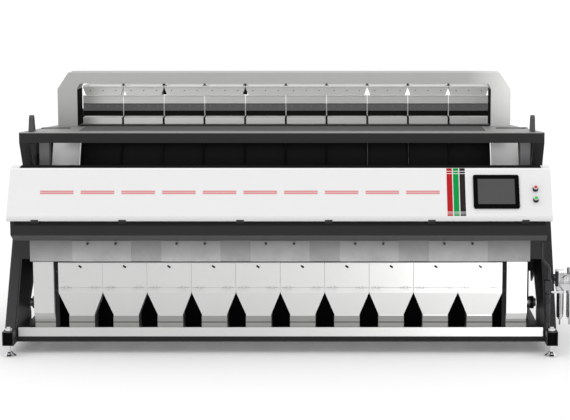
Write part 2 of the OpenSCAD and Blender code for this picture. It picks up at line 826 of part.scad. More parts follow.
door_seat = 0.5;
door_axis_y = hopper_y - 2 * door_pin_r - door_seat;
door_knuckle_r = 2 * door_pin_r;
door_knuckle_len = 30;

module discharge_hopper() {
    difference() {
        hopper_form(0, outlet_z, hopper_top);
        hopper_form(sheet_t, outlet_z - small, hopper_top + small);
        slab([-pitch / 2 + hopper_gap / 2 + sheet_t, hopper_y - small, door_z],
            [pitch / 2 - hopper_gap / 2 - sheet_t, hopper_y + sheet_t + small, hopper_top + small]);
        slab([-pitch / 2, partition_y - sheet_t - small, split_z],
            [pitch / 2, partition_y + small, hopper_top + small]);
    }
    for (s = [-1, 1]) {
        rod(s * door_hinge_x - door_knuckle_len, s * door_hinge_x + door_knuckle_len,
            [door_axis_y, door_z], door_pin_r);
        for (e = [-1, 1]) {
            x = s * door_hinge_x + e * door_knuckle_len * 0.8;
            slab([x - door_knuckle_len * 0.2, door_axis_y - door_pin_r, door_z - 5 * door_pin_r],
                [x + door_knuckle_len * 0.2, hopper_y, door_z + door_pin_r]);
        }
    }
}

module discharge_hoppers() color(steel) place() each_chute() discharge_hopper();

module sampling_door(i) color(steel) place() translate([(i - (chute_count + 1) / 2) * pitch, 0, 0]) {
    half = pitch / 2 - hopper_gap / 2;
    difference() {
        union() {
            slab([-half, hopper_y - sheet_t - door_seat, door_z + hopper_gap],
                [half, hopper_y - door_seat, hopper_top - hopper_gap / 2]);
            for (s = [-1, 1]) {
                x0 = s * door_hinge_x - door_knuckle_len / 2;
                rod(x0, x0 + door_knuckle_len, [door_axis_y, door_z], door_knuckle_r);
                slab([x0, hopper_y - sheet_t - door_seat, door_z],
                    [x0 + door_knuckle_len, hopper_y - door_seat, door_z + hopper_gap]);
            }
        }
        rod(-half, half, [door_axis_y, door_z], door_pin_r + pin_clear);
        translate([0, hopper_y + small, finger_z]) rotate([90, 35, 0]) {
            for (s = [-1, 1]) translate([s * 7, 0, 0]) cylinder(h = sheet_t * 3, r = 7);
            translate([-7, -7, 0]) cube([14, 14, sheet_t * 3]);
        }
    }
}

module reject_hopper() color(dark_paint) place() {
    low = outlet_z + 50;
    back = partition_y + 2 * sheet_t;
    foot = [partition_y + reject_w, low];
    head = [col_y + 5, reject_top];
    slab([-plate_in, partition_y, reject_top], [plate_in, back, split_z]);
    slab([-col_in, partition_y, low], [col_in, back, reject_top]);
    across(wall(foot, head, sheet_t), -col_in, col_in);
    both() across([[back, low], foot, head, [back, reject_top]], col_in - sheet_t, col_in);
}

// Ejector band under the front box

module ejector_band() color("#9a9a9a") place()
    slab([-band_half, band_y, band_z], [band_half, band_y + sheet_t, box_low_z]);

module each_cover() for (k = [1 : chute_count / 2])
    translate([(k - (chute_count / 2 + 1) / 2) * 2 * pitch, 0, 0]) children();

module access_covers() color("#a6a6a6") place() each_cover()
    slab([-cover_w / 2, band_y - sheet_t, band_z + cover_edge],
        [cover_w / 2, band_y, box_low_z - cover_edge]);

module cover_knobs() color(black) place() each_cover() for (s = [-1, 1])
    translate([s * knob_span / 2, band_y - sheet_t, box_low_z - cover_edge - knob_d]) rotate([90, 0, 0]) {
        cylinder(h = knob_d * 0.4, d = knob_d * 0.6);
        translate([0, 0, knob_d * 0.4]) cylinder(h = knob_d * 0.4, d = knob_d);
    }

// Front and rear optics boxes

window_top = front_window - down * window_half;
window_low = front_window + down * window_half;
box_roof_z = hood_top_z - roof_drop;
box_back = [box_back_y, post_z - 20];

front_box_outline = [
    [box_y, box_z], [box_y + box_slope_d, box_low_z], [box_in_y, box_low_z], window_low, window_top,
    box_back, [box_roof_y, box_roof_z], [hood_top_y + 16, box_roof_z]];
box_shelf = [[box_y + 80, box_face_z], [box_y, box_face_z]];

// Cuts the long window out of an optics box
module window_slot(centre) {
    top = centre - down * glass_half + off * glass_half;
    across(wall(top, top + down * 2 * glass_half, 2 * glass_half), -bank_half - 20, bank_half + 20);
}

module front_box() color(dark_paint) place() {
    p = concat(box_shelf, front_box_outline);
    difference() {
        across(folded(p, box_t), -plate_in, plate_in);
        window_slot(front_window);
    }
    both() across(concat([box_shelf[1]], front_box_outline), plate_in - box_t, plate_in);
}

rear_top = rear_window - down * window_half;
rear_low = rear_window + down * window_half;
rear_box_outline = [rear_low, rear_low + [165, -123], rear_low + [425, -3], rear_low + [345, 247], rear_top];

module rear_box() color(dark_paint) place() {
    difference() {
        across(rear_box_outline, -col_in, col_in);
        across(drawn_in(rear_box_outline, box_t), -col_in + box_t, col_in - box_t);
        window_slot(rear_window);
    }
}

module window_glasses() color("#9fc4c8", 0.5) place() {
    for (w = [[front_window, -glass_t], [rear_window, glass_t]])
        across(wall(w[0] + down * (glass_half + 10), w[0] - down * (glass_half + 10), w[1]),
            -bank_half - 40, bank_half + 40);
}

// A camera with its lens towards the view line, drawn with its axis along +Z
module camera() {
    translate([-cam_side / 2, -cam_side / 2, 0]) cube([cam_side, cam_side, cam_len]);
    translate([0, 0, cam_len]) difference() {
        cylinder(h = cam_side * 0.7, d = cam_side * 0.8);
        translate([0, 0, cam_side * 0.5]) cylinder(h = cam_side, d = cam_side * 0.6);
    }
}

module cameras() color(black) place() {
    for (set = [[1, front_cam_off, plate_in - box_t], [-1, rear_cam_off, col_in - box_t]]) {
        at = view + off * set[0] * set[1];
        each_chute() translate([0, at[0], at[1]])
            rotate([chute_slope + (set[0] > 0 ? 180 : 0), 0, 0]) camera();
        side = at - down * (cam_side / 2 - small);
        across(wall(side, side - off * set[0] * cam_side / 2, set[0] * cam_side / 2), -set[2], set[2]);
    }
}

module lamps() color("#f4f4ec") place() {
    for (s = [-1, 1]) {
        front = front_window + off * lamp_off + down * s * front_lamp_step;
        rear = rear_window - off * lamp_off + down * s * rear_lamp_step;
        rod(-plate_in + box_t, plate_in - box_t, front, lamp_r);
        rod(-col_in + box_t, col_in - box_t, rear, lamp_r);
    }
}

module ejector_bar() color("#8c8f94") place() {
    front = partition_y - ejector_set;
    back = front + ejector_d;
    difference() {
        slab([-plate_in, front, hopper_top], [plate_in, back, hopper_top + ejector_h]);
        rod(-plate_in - small, plate_in + small,
            [front + ejector_d * 0.43, hopper_top + ejector_h / 2], ejector_bore_r);
    }
    each_chute() slab([-pitch * 0.42, back, hopper_top + ejector_h * 0.4],
        [pitch * 0.42, back + nozzle_t, hopper_top + ejector_h * 0.8]);
}

// Wipers that clean the glasses, on round rails
front_rail = front_window - off * front_rail_off;
rear_rail = rear_window + off * rear_rail_off + down * rear_rail_drop;
carriage_w = 60;
wiper_park_x = -bank_half - wiper_park;

module wiper_rails() color(chrome) place() {
    rod(-plate_in, plate_in, front_rail, wiper_rail_r);
    rod(-plate_in, plate_in, rear_rail, wiper_rail_r);
}

module wipers() color(black) place() for (w = [[front_rail, front_window, -1], [rear_rail, rear_window, 1]]) {
    c = w[1] + off * w[2] * (glass_t + blade_gap);
    x0 = wiper_park_x - carriage_w / 2;
    difference() {
        union() {
            rod(x0, x0 + carriage_w, w[0], wiper_rail_r * 1.8);
            across([c + down * glass_half, c - down * glass_half, c - down * glass_half + off * w[2] * 10,
                w[0] - down * wiper_rail_r, w[0], c + down * glass_half + off * w[2] * 10],
                x0 + carriage_w * 0.3, x0 + carriage_w * 0.7);
        }
        rod(x0 - small, x0 + carriage_w + small, w[0], wiper_rail_r + pin_clear);
    }
}

// Air supply

module air_reservoir() color(steel) place() {
    half = col_out - 10;
    rod(-half, half, [tank_y, tank_z], tank_r);
    both() {
        rod(half, half + 14, [tank_y, tank_z], tank_r * 0.7);
        slab([col_in + 20, tank_y - 30, base_top], [col_in + 32, tank_y + 30, tank_z]);
    }
}

bowl_x = stand_out + air_off;
head_lo = air_z - 40;
head_hi = air_z + 80;
inlet_z = air_z + 50;
collar_h = 24;
valve_x = stand_out + 20;
valve_y = air_y - bowl_r - valve_r - 2;
valve_z = air_z - 6;
arm_z = air_z + 34;
arm_h = 12;
arm_plate_t = 6;

// The bracket on the leg carries the unit and the shutoff valve in front of it
module air_bracket() color(dark_paint) place() {
    slab([stand_out, air_y - 40, air_z + 10], [stand_out + arm_plate_t, air_y + 20, air_z + 70]);
    slab([stand_out, air_y - 10, arm_z], [bowl_x - bowl_r, air_y + 10, arm_z + arm_h]);
    slab([stand_out, valve_y, arm_z], [valve_x, valve_y + valve_r, arm_z + arm_h]);
    translate([valve_x, valve_y, valve_z]) {
        cylinder(h = valve_h, r = valve_r);
        cylinder(h = valve_h + stem_h, r = stem_r);
    }
}

// One bowl with its collar, drain cone and drain cock, hanging from the head
module bowl(x) translate([x, air_y, head_lo]) mirror([0, 0, 1]) {
    cylinder(h = collar_h, r = bowl_r);
    cylinder(h = bowl_len, r = bowl_r * 0.82);
    translate([0, 0, bowl_len]) cylinder(h = drain_h, r1 = bowl_r * 0.82, r2 = drain_r * 1.6);
    translate([0, 0, bowl_len + drain_h]) cylinder(h = drain_h * 2, r = drain_r);
}

gauge_r = 20;
gauge_t = 16;
gauge_neck = 12;
post_r = 15;
post_h = 26;

module air_filter() color(chrome) place() {
    head_end = bowl_x + bowl_span + bowl_r;
    difference() {
        slab([bowl_x - bowl_r, air_y - bowl_r, head_lo], [head_end, air_y + bowl_r, head_hi]);
        rod(head_end - 20, head_end + small, [air_y, inlet_z], inlet_r);
    }
    bowl(bowl_x);
    bowl(bowl_x + bowl_span);
    translate([bowl_x + bowl_span, air_y, head_hi]) cylinder(h = post_h, r = post_r);
    translate([bowl_x + bowl_span / 2, air_y - bowl_r, inlet_z]) rotate([90, 0, 0]) {
        cylinder(h = gauge_neck, r = gauge_r * 0.3);
        translate([0, 0, gauge_neck]) cylinder(h = gauge_t, r = gauge_r);
    }
}

knob_r = 24;
knob_h = 44;
rib_w = 6;

module regulator_knob() color("#44474a") place()
translate([bowl_x + bowl_span, air_y, head_hi]) difference() {
    union() {
        translate([0, 0, 2]) cylinder(h = knob_h, r = knob_r);
        for (a = [0 : 30 : 330]) rotate(a)
            translate([knob_r - 1, -rib_w / 2, rib_w]) cube([3, rib_w, knob_h - 8]);
    }
    translate([0, 0, -small]) cylinder(h = post_h + 2 * small, r = post_r + pin_clear);
}

lever_len = 52;
lever_w = 10;
hub_r = 11;

module shutoff_handle() color(chrome) place() translate([valve_x, valve_y, valve_z + valve_h]) difference() {
    union() {
        translate([0, 0, small]) cylinder(h = stem_h + 6, r = hub_r);
        translate([0, -lever_w / 2, stem_h - 4]) cube([lever_len, lever_w, 8]);
    }
    translate([0, 0, -small]) cylinder(h = stem_h + 2 * small, r = stem_r + pin_clear);
}

hose_run = 14;

// The hose leaves the back of the unit, bends and goes in through the gusset behind the leg
module air_hose() color(black) place() {
    x0 = bowl_x + bowl_span / 2;
    y0 = air_y + bowl_r;
    z0 = inlet_z;
    translate([x0, y0, z0]) rotate([-90, 0, 0]) cylinder(h = hose_run, r = hose_r);
    translate([x0 - hose_bend, y0 + hose_run, z0]) rotate_extrude(angle = 90)
        translate([hose_bend, 0]) circle(r = hose_r);
    rod(leg_in, x0 - hose_bend, [y0 + hose_run + hose_bend, z0], hose_r);
}

// Chutes and feeders

module chutes() color(black) place() each_chute() {
    half = (pitch - chute_gap) / 2;
    across(wall(chute_top, chute_end, chute_t), -half, half);
    for (x = [-half, half - sheet_t])
        across(wall(chute_end, chute_top, chute_wall_h), x, x + sheet_t);
}

// Panels close the chute plane beside the bank, below the deck rails
panel_start = 80;
panel_end = chute_len * 0.7;
module chute_side_panels() color(steel) place() both()
    across(wall(chute_top + down * panel_start, chute_top + down * panel_end, sheet_t),
        bank_half + 2 * sheet_t, col_in);

function feed_front(t, lo, hi) = let (top = pitch / 2 - 2 - t, low = pitch / 2 - 2 - feed_draw - t) [
    [-top, hi], [-top, feed_top - feed_rim_h], [-low, feed_neck_z], [-low, lo],
    [low, lo], [low, feed_neck_z], [top, feed_top - feed_rim_h], [top, hi]];
function feed_side(t, lo, hi) = [
    [feed_y + t, hi], [feed_y + t, lo], [feed_spout_y - t, lo], [feed_spout_y - t, feed_spout_z],
    [feed_back_y - t, feed_top - feed_rim_h], [feed_back_y - t, hi]];

module feed_form(t, lo, hi) intersection() {
    deep(feed_front(t, lo, hi), feed_y, feed_back_y);
    across(feed_side(t, lo, hi), -pitch / 2, pitch / 2);
}

module feed_hoppers() color(steel) place() each_chute() {
    difference() {
        feed_form(0, feed_spout_z, feed_top);
        feed_form(sheet_t, feed_spout_z - small, feed_top + small);
    }
    slab([-pitch / 2 + 2, feed_y - sheet_t, feed_spout_z], [pitch / 2 - 2, feed_y, feed_neck_z]);
    rod(-pitch / 2 + 2, pitch / 2 - 2, [feed_y - sheet_t, feed_neck_z], sheet_t);
}

comb_top = feed_spout_z + 10;
comb_foot = feed_spout_z + 4 - comb_band_h;
module feeder_combs() color(black) place() each_chute() {
    half = pitch / 2 - 3;
    step = 2 * half / comb_teeth;
    deep(concat([[half, comb_top], [-half, comb_top]], [for (k = [0 : comb_teeth - 1])
        let (z = comb_foot - comb_tooth_h, x0 = -half + k * step + comb_slit / 2, x1 = x0 + step - comb_slit)
            each [[x0, comb_foot], [x0, z], [x1, z], [x1, comb_foot]]]),
        feed_y - sheet_t * 2, feed_y - sheet_t);
}

tray_nose_y = feed_y - tray_nose_out;
module feeder_trays() color(steel) place() each_chute() {
    half = pitch / 2 - 8;
    back = feed_back_y - tray_back_gap;
    slab([-half, tray_nose_y, tray_z], [half, back, tray_z + tray_t]);
    slab([-half, tray_nose_y, tray_z - tray_nose_h], [half, tray_nose_y + tray_t, tray_z + tray_t]);
    for (x = [-half, half - tray_t])
        slab([x, feed_y + 5, tray_z], [x + tray_t, back, tray_z + tray_wall_h]);
    slab([-half, back - tray_t, tray_z], [half, back, tray_z + tray_wall_h]);
}

// A drive: its foot plate on the feeder beams, its magnet block and two leaf springs up to the tray
module feeder_drives() color("#4a5a68") place() each_chute() {
    plate_z = beam_z + feeder_beam_h;
    top_z = plate_z + drive_t;
    y0 = feed_y + 50;
    y1 = feed_back_y - drive_back_gap;
    drive_len = y1 - y0;
    leaf_in = drive_t;
    slab([-drive_w / 2, y0, plate_z], [drive_w / 2, y1, top_z]);
    slab([-drive_w * 0.4, y0 + drive_len / 7, top_z], [drive_w * 0.4, y1 - drive_len / 7, top_z + 36]);
    for (y = [y0 + leaf_in, y1 - leaf_in - leaf_t])
        slab([-drive_w * 0.3, y, top_z], [drive_w * 0.3, y + leaf_t, tray_z - spring_gap]);
}

// Control cabinet on the back

cabinet_y = rear_col_y + col_d;
cabinet_back = cabinet_y + cabinet_d;
cabinet_rail_z = cabinet_z + cabinet_h * 0.6;
door_gap = 1;
cab_pin_r = 4;
cab_knuckle_r = 7;
cab_knuckle_h = 60;
cab_hinge = [-cabinet_w / 2 - cab_knuckle_r - door_gap, cabinet_back + door_gap + 3];
cab_hinge_places = [cabinet_z + cabinet_h * 0.18, cabinet_z + cabinet_h * 0.82];

// One length of a cabinet hinge's barrel, centred on height z
module cab_barrel(z, h)
    translate([cab_hinge[0], cab_hinge[1], z - h / 2]) cylinder(h = h, r = cab_knuckle_r);

module control_cabinet() color("#d9d9d6") place() {
    difference() {
        slab([-cabinet_w / 2, cabinet_y, cabinet_z], [cabinet_w / 2, cabinet_back, cabinet_z + cabinet_h]);
        slab([-cabinet_w / 2 + sheet_t, cabinet_y + sheet_t, cabinet_z + sheet_t],
            [cabinet_w / 2 - sheet_t, cabinet_back + small, cabinet_z + cabinet_h - sheet_t]);
        translate([cabinet_w / 4, cabinet_y + cabinet_d / 2, cabinet_z - small])
            cylinder(h = sheet_t + 2 * small, r = gland_r);
    }
    both() slab([cabinet_w / 2 - small, cabinet_y, cabinet_rail_z],
        [col_out, cabinet_y + cabinet_rail_d, cabinet_rail_z + cabinet_rail_h]);
    for (z = cab_hinge_places) {
        translate([cab_hinge[0], cab_hinge[1], z - cab_knuckle_h])
            cylinder(h = 2 * cab_knuckle_h, r = cab_pin_r);
        for (e = [-1, 1]) {
            mid = z + e * cab_knuckle_h * 0.8;
            tall = cab_knuckle_h * 0.4;
            cab_barrel(mid, tall);
            slab([cab_hinge[0] - cab_knuckle_r, cabinet_back - 4 * cab_knuckle_r, mid - tall / 2],
                [-cabinet_w / 2, cabinet_back, mid + tall / 2]);
        }
    }
}

module cabinet_door() color("#d9d9d6") place() {
    y0 = cabinet_back + door_gap;
    thick = 20;
    slab([-cabinet_w / 2, y0, cabinet_z], [cabinet_w / 2, y0 + thick, cabinet_z + cabinet_h]);
    translate([cabinet_w / 2 - 50, y0 + thick, cabinet_z + cabinet_h / 2 - 60]) cube([24, 14, 120]);
    for (z = cab_hinge_places) difference() {
        union() {
            cab_barrel(z, cab_knuckle_h);
            slab([cab_hinge[0], y0 + cab_knuckle_r, z - cab_knuckle_h / 2],
                [-cabinet_w / 2 + small, y0 + thick, z + cab_knuckle_h / 2]);
        }
        translate([cab_hinge[0], cab_hinge[1], z - cab_knuckle_h])
            cylinder(h = 2 * cab_knuckle_h, r = cab_pin_r + pin_clear);
    }
}

// Hood

hood_back = [hood_hinge_y - 12, hood_hinge_z + 10];
knuckle_r = hinge_pin_r * 1.6;
lip_front_y = 2;
lip_back = [22, lip_z - 6];
hood_outline = [lip_back, [lip_front_y, lip_z], face_foot, face_top, hood_back];
cheek_low = [hood_hinge_y - 20, hood_hinge_z - 60];
cheek_front = [140, lip_z];

module hood() color(white_paint) place() {
    difference() {
        union() {
            across(folded(hood_outline, -hood_t), -hood_half, hood_half);
            both() across(concat(hood_outline, [cheek_low, cheek_front]), hood_half - hood_t, hood_half);
        }
        on_face(button_x, green_up) translate([0, 0, -20]) cylinder(h = 40, r = cap_d / 2 + 1);
        on_face(button_x, green_up + button_step) translate([0, 0, -20]) cylinder(h = 40, r = cap_d / 2 + 1);
    }
    for (x = hinge_places()) difference() {
        union() {
            rod(x - knuckle_len / 2, x + knuckle_len / 2, [hood_hinge_y, hood_hinge_z], knuckle_r);
            slab([x - knuckle_len / 2, hood_back[0] - 20, hood_hinge_z - hood_t],
                [x + knuckle_len / 2, hood_hinge_y, hood_back[1] - hood_t]);
        }
        rod(x - knuckle_len, x + knuckle_len, [hood_hinge_y, hood_hinge_z], hinge_pin_r + pin_clear);
    }
}

function hinge_places() = [for (k = [-1.5 : 1 : 1.5]) k * bank_half / 2];

module hood_hinges() color(black) place() for (x = hinge_places()) {
    rod(x - knuckle_len, x + knuckle_len, [hood_hinge_y, hood_hinge_z], hinge_pin_r);
    for (s = [-1, 1]) translate([x + s * knuckle_len * 0.78, 0, 0])
        across([[hood_hinge_y - hinge_foot_d / 4, box_roof_z], [hood_hinge_y + hinge_foot_d * 3 / 4, box_roof_z],
            [hood_hinge_y + hinge_head_d * 0.6, hood_hinge_z + hinge_head_d * 0.4],
            [hood_hinge_y - hinge_head_d * 0.4, hood_hinge_z + hinge_head_d * 0.4]],
            -knuckle_len * 0.2, knuckle_len * 0.2);
}

latch_shares = [-0.897, -0.576, -0.144, 0.18, 0.558, 0.902];
latch_y0 = 12;
latch_y1 = 36;
function lip_line(y) = lip_z - (lip_z - lip_back[1]) * (y - lip_front_y) / (lip_back[0] - lip_front_y);
module hood_latches() color(black) place() for (x = latch_shares * hood_half)
    across([[latch_y0, lip_line(latch_y0)], [latch_y1, lip_line(latch_y1)], [latch_y1, lip_z - 18],
        [latch_y1 - 14, lip_z - 22], [latch_y0, lip_z - 14]], x - latch_w / 2, x + latch_w / 2);

module round_plate(w, h, r, t) linear_extrude(t) {
    square([w - 2 * r, h], center = true);
    square([w, h - 2 * r], center = true);
    for (x = [-1, 1], y = [-1, 1]) translate([x * (w / 2 - r), y * (h / 2 - r)]) circle(r = r);
}

screen_seat = 2;
module screen_bezel() color(black) place() on_face(screen_x, screen_up) difference() {
    round_plate(bezel_w, bezel_h, bezel_r, bezel_t);
    translate([0, 0, bezel_t - screen_seat])
        linear_extrude(bezel_t) square([bezel_w - 2 * border_w, bezel_h - 2 * border_h], center = true);
}

module screen() color("#585858") place() on_face(screen_x, screen_up)
    translate([0, 0, bezel_t - screen_seat])
        linear_extrude(screen_seat / 2) square([bezel_w - 2 * border_w, bezel_h - 2 * border_h], center = true);

module button_bezels() color(chrome) place() for (up = [green_up, green_up + button_step])
    on_face(button_x, up) difference() {
        union() {
            cylinder(h = button_out, d = button_d);
            cylinder(h = 5, d = button_d * 1.25);
        }
        translate([0, 0, -small]) cylinder(h = button_out + 2 * small, r = cap_d / 2 + 0.3);
    }

module push_button(up, paint) color(paint) place() on_face(button_x, up) {
    translate([0, 0, 2]) cylinder(h = button_out + button_travel - 2, r = cap_d / 2);
    translate([0, 0, button_out + button_travel]) cylinder(h = 3, r1 = cap_d / 2, r2 = cap_d / 2 - 3);
}
module stop_button() push_button(green_up + button_step, "#dc0000");
module start_button() push_button(green_up, "#00b428");

side_stands();
rail_caps();
base_frame();
upper_frame();
side_plates();
top_deck();
lifting_lugs();
gantry();
front_skirt();
end_ducts();
discharge_hoppers();
reject_hopper();
ejector_band();
access_covers();
cover_knobs();
front_box();
rear_box();
window_glasses();
cameras();
lamps();
ejector_bar();
air_reservoir();
chutes();
chute_side_panels();
feed_hoppers();
feeder_combs();
feeder_trays();
feeder_drives();
control_cabinet();
cabinet_door();
hood();
hood_hinges();
hood_latches();
screen_bezel();
screen();
button_bezels();
stop_button();
start_button();
foot_front_left();
foot_front_right();
foot_rear_left();
foot_rear_right();
foot_nuts();
air_bracket();
air_filter();
regulator_knob();
shutoff_handle();
air_hose();
wiper_rails();
wipers();
sampling_door(1);  // door_1
sampling_door(2);  // door_2
sampling_door(3);  // door_3
sampling_door(4);  // door_4
sampling_door(5);  // door_5
sampling_door(6);  // door_6
sampling_door(7);  // door_7
sampling_door(8);  // door_8
sampling_door(9);  // door_9
sampling_door(10);  // door_10
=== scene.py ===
# %% [markdown]
# # An optical grain sorter, dressed for its picture
# The construction is already there: the frame file brings in every sheet, beam and hinge at its real
# size, grouped into the bodies that move. This lesson gives those pieces their finishes, adds the small
# things that are too fine for the construction, such as screws, films and gaskets, and lights the whole.

# %% Load the construction
import json
import math

import bpy
from mathutils import Matrix, Vector

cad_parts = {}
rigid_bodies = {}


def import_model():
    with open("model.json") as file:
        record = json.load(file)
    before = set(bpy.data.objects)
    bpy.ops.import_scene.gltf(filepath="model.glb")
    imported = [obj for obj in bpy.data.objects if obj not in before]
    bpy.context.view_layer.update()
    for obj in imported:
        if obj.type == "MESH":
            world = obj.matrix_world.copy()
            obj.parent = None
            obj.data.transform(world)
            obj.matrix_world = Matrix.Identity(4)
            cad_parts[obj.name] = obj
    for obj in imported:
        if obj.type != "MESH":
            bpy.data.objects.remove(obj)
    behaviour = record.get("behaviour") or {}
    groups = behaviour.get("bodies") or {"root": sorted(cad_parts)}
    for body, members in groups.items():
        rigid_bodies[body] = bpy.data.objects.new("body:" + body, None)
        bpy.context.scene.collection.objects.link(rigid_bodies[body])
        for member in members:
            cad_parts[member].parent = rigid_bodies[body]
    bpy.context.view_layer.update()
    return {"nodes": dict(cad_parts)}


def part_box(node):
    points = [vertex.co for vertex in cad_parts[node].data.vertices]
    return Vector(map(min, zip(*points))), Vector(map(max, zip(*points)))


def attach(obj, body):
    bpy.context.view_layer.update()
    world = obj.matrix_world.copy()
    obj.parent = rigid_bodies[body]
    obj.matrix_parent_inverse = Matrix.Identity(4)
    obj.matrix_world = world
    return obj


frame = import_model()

nodes = frame["nodes"]
bpy.ops.object.select_all(action="DESELECT")

# %% [markdown]
# ## Camera
# The machine was photographed from far away with a long lens, a little to the right of its middle and
# from above its top. The camera is not turned sideways, so every beam along the bank stays level; the
# machine is brought to the middle of the picture with lens shift instead.

# %% Place the camera
FOCAL_PIXELS = 1803
PICTURE_WIDTH = 570
PRINCIPAL_X = 346.4
CAMERA_PITCH = math.radians(7.895)
CAMERA_FROM_RAILS = Vector((0.4763, -12.6957, 2.8301))
SENSOR_WIDTH = 36
FARTHEST = 2000
rail_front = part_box("side_stands")[0].y

lens = bpy.data.cameras.new("Camera")
camera = bpy.data.objects.new("Camera", lens)
bpy.context.scene.collection.objects.link(camera)
lens.sensor_width = SENSOR_WIDTH
lens.lens = SENSOR_WIDTH * FOCAL_PIXELS / PICTURE_WIDTH
lens.shift_x = (PICTURE_WIDTH / 2 - PRINCIPAL_X) / PICTURE_WIDTH
lens.clip_end = FARTHEST
camera.location = CAMERA_FROM_RAILS + Vector((0, rail_front, 0))
camera.rotation_euler = (math.pi / 2 - CAMERA_PITCH, 0, 0)
bpy.context.scene.camera = camera
print("lens", round(lens.lens, 1), "mm, from", camera.location)

# %% [markdown]
# ## Helpers for finishes
# Colours are written as the hex values a paint card would give and turned into the linear values that
# the shader works with. One function adds a shader node with its settings and its links, so a finish reads
# as a short list of nodes.

# %% Colour and node helpers
MM = 0.001


def linear(hex_code):
    channels = [int(hex_code[i:i + 2], 16) / 255 for i in (1, 3, 5)]
    return [c / 12.92 if c <= 0.04045 else ((c + 0.055) / 1.055) ** 2.4 for c in channels] + [1.0]


def add(material, kind, settings=None, links=None):
    node = material.node_tree.nodes.new(kind)
    for key, value in (settings or {}).items():
        if isinstance(key, int) or key in node.inputs:
            node.inputs[key].default_value = value
        else:
            setattr(node, key, value)
    for key, (source, output) in (links or {}).items():
        material.node_tree.links.new(source.outputs[output], node.inputs[key])
    return node


def new_material(name, **settings):
    material = bpy.data.materials.new(name)
    material.use_nodes = True
    shader = material.node_tree.nodes["Principled BSDF"]
    for key, value in settings.items():
        shader.inputs[key.replace("_", " ")].default_value = value
    return material, shader


def coat(material, *names):
    for name in names:
        nodes[name].data.materials.clear()
        nodes[name].data.materials.append(material)
    print(material.name, "on", ", ".join(names))


# %% [markdown]
# ## One pattern that all finishes share
# Every finish here is the same idea at a different size: a noise drawn out along one axis for brushed steel,
# and an even noise for paint and blasted metal. The noise tints the colour a little, shifts the roughness
# and lifts the surface by a hair, which keeps a large flat panel from looking dead. Patterns are measured in
# real millimetres, so a texture's scale is one over the size of a grain in metres. Where the light of the
# picture leaves one end of a piece paler or darker, the tint fades to another colour there.

# %% A grained finish
GRAIN_SHARE = 0.5
NOISE_LOW, NOISE_HIGH = 0.3, 0.7
GRAIN_DEPTH = 0.2 * MM


def finish(name, dark, light, grain, rough, lift, clouds=400, fade=None, **settings):
    """grain is the size of the pattern along X, Y and Z in mm, clouds that of the slow change of tone,
    rough the range of the roughness and lift the strength of the relief.
    fade paints light or shade: an axis, a place on it in mm, another place, and the colour that the first one
    has."""
    material, shader = new_material(name, **settings)
    place = add(material, "ShaderNodeTexCoord")
    fine_scale = add(material, "ShaderNodeMapping", {"Scale": [1 / (g * MM) for g in grain]},
                     {"Vector": (place, "Object")})
    fine = add(material, "ShaderNodeTexNoise", {"Scale": 1.0, "Detail": 3.0}, {"Vector": (fine_scale, 0)})
    slow = add(material, "ShaderNodeTexNoise", {"Scale": 1 / (clouds * MM), "Detail": 2.0},
               {"Vector": (place, "Object")})
    both = add(material, "ShaderNodeMix", {"Factor": GRAIN_SHARE, "data_type": "FLOAT"},
               {2: (fine, 0), 3: (slow, 0)})
    tint = add(material, "ShaderNodeMix", {"data_type": "RGBA", 6: linear(dark), 7: linear(light)},
               {0: (both, 0)})
    if fade:
        axis, first, second, colour = fade
        along_axis = add(material, "ShaderNodeSeparateXYZ", None, {0: (place, "Object")})
        share = add(material, "ShaderNodeMapRange", {"From Min": first * MM, "From Max": second * MM},
                    {"Value": (along_axis, axis)})
        tint = add(material, "ShaderNodeMix", {"data_type": "RGBA", 6: linear(colour)},
                   {0: (share, 0), 7: (tint, 2)})
    matt = add(material, "ShaderNodeMapRange", {"From Min": NOISE_LOW, "From Max": NOISE_HIGH,
                                               "To Min": rough[0], "To Max": rough[1]}, {"Value": (fine, 0)})
    bump = add(material, "ShaderNodeBump", {"Strength": lift, "Distance": GRAIN_DEPTH}, {"Height": (fine, 0)})
    material.node_tree.links.new(tint.outputs[2], shader.inputs["Base Color"])
    material.node_tree.links.new(matt.outputs[0], shader.inputs["Roughness"])
    material.node_tree.links.new(bump.outputs[0], shader.inputs["Normal"])
    return material


# %% [markdown]
# ## Dark painted steel
# The frame is welded tube and plate in a dark grey powder coat: baked plastic powder with a slight orange
# peel about a millimetre across, which is drawn at four so that it shows. One colour would do for all of it,
# but the side plates catch the daylight and the frame under the hoppers lies in shade, so each group gets
# its own tone of the same coat.

# %% Dark powder coats
PEEL = (4, 4, 4)
PEEL_ROUGH = (0.42, 0.52)
PEEL_LIFT = 0.12

# nearly black, with a soft wide sheen along the beams
frame_coat = finish("powder_coat_dark_grey", "#1b1b1c", "#232324", PEEL, PEEL_ROUGH, PEEL_LIFT,
                    Specular_IOR_Level=0.35)
coat(frame_coat, "upper_frame", "rear_box", "reject_hopper", "hood_latches")

# a paler grey on the upper plates as painted light, sinking with painted shade to the frame's tone below
side_coat = finish("powder_coat_mid_grey", "#464647", "#4e4e4f", PEEL, PEEL_ROUGH, PEEL_LIFT,
                   fade=("Z", 1330, 1360, "#1b1b1c"), Specular_IOR_Level=0.35)
coat(side_coat, "side_plates", "lifting_lugs")

# the darkest beam of the front, with a lower lip painted lighter: painted light from the band under it
box_coat = finish("powder_coat_dark_grey_box", "#141415", "#1a1a1b", PEEL, PEEL_ROUGH, PEEL_LIFT,
                  fade=("Z", 872, 886, "#4e4e4e"), Specular_IOR_Level=0.35)
coat(box_coat, "front_box")

# a little more gloss, and darker with painted shade at the right end of the machine
stand_coat = finish("powder_coat_dark_grey_stand", "#2b2b2c", "#333334", PEEL, (0.4, 0.5), PEEL_LIFT,
                    fade=("X", 1880, 1500, "#1d1d1e"), Specular_IOR_Level=0.4)
coat(stand_coat, "side_stands", "air_bracket")
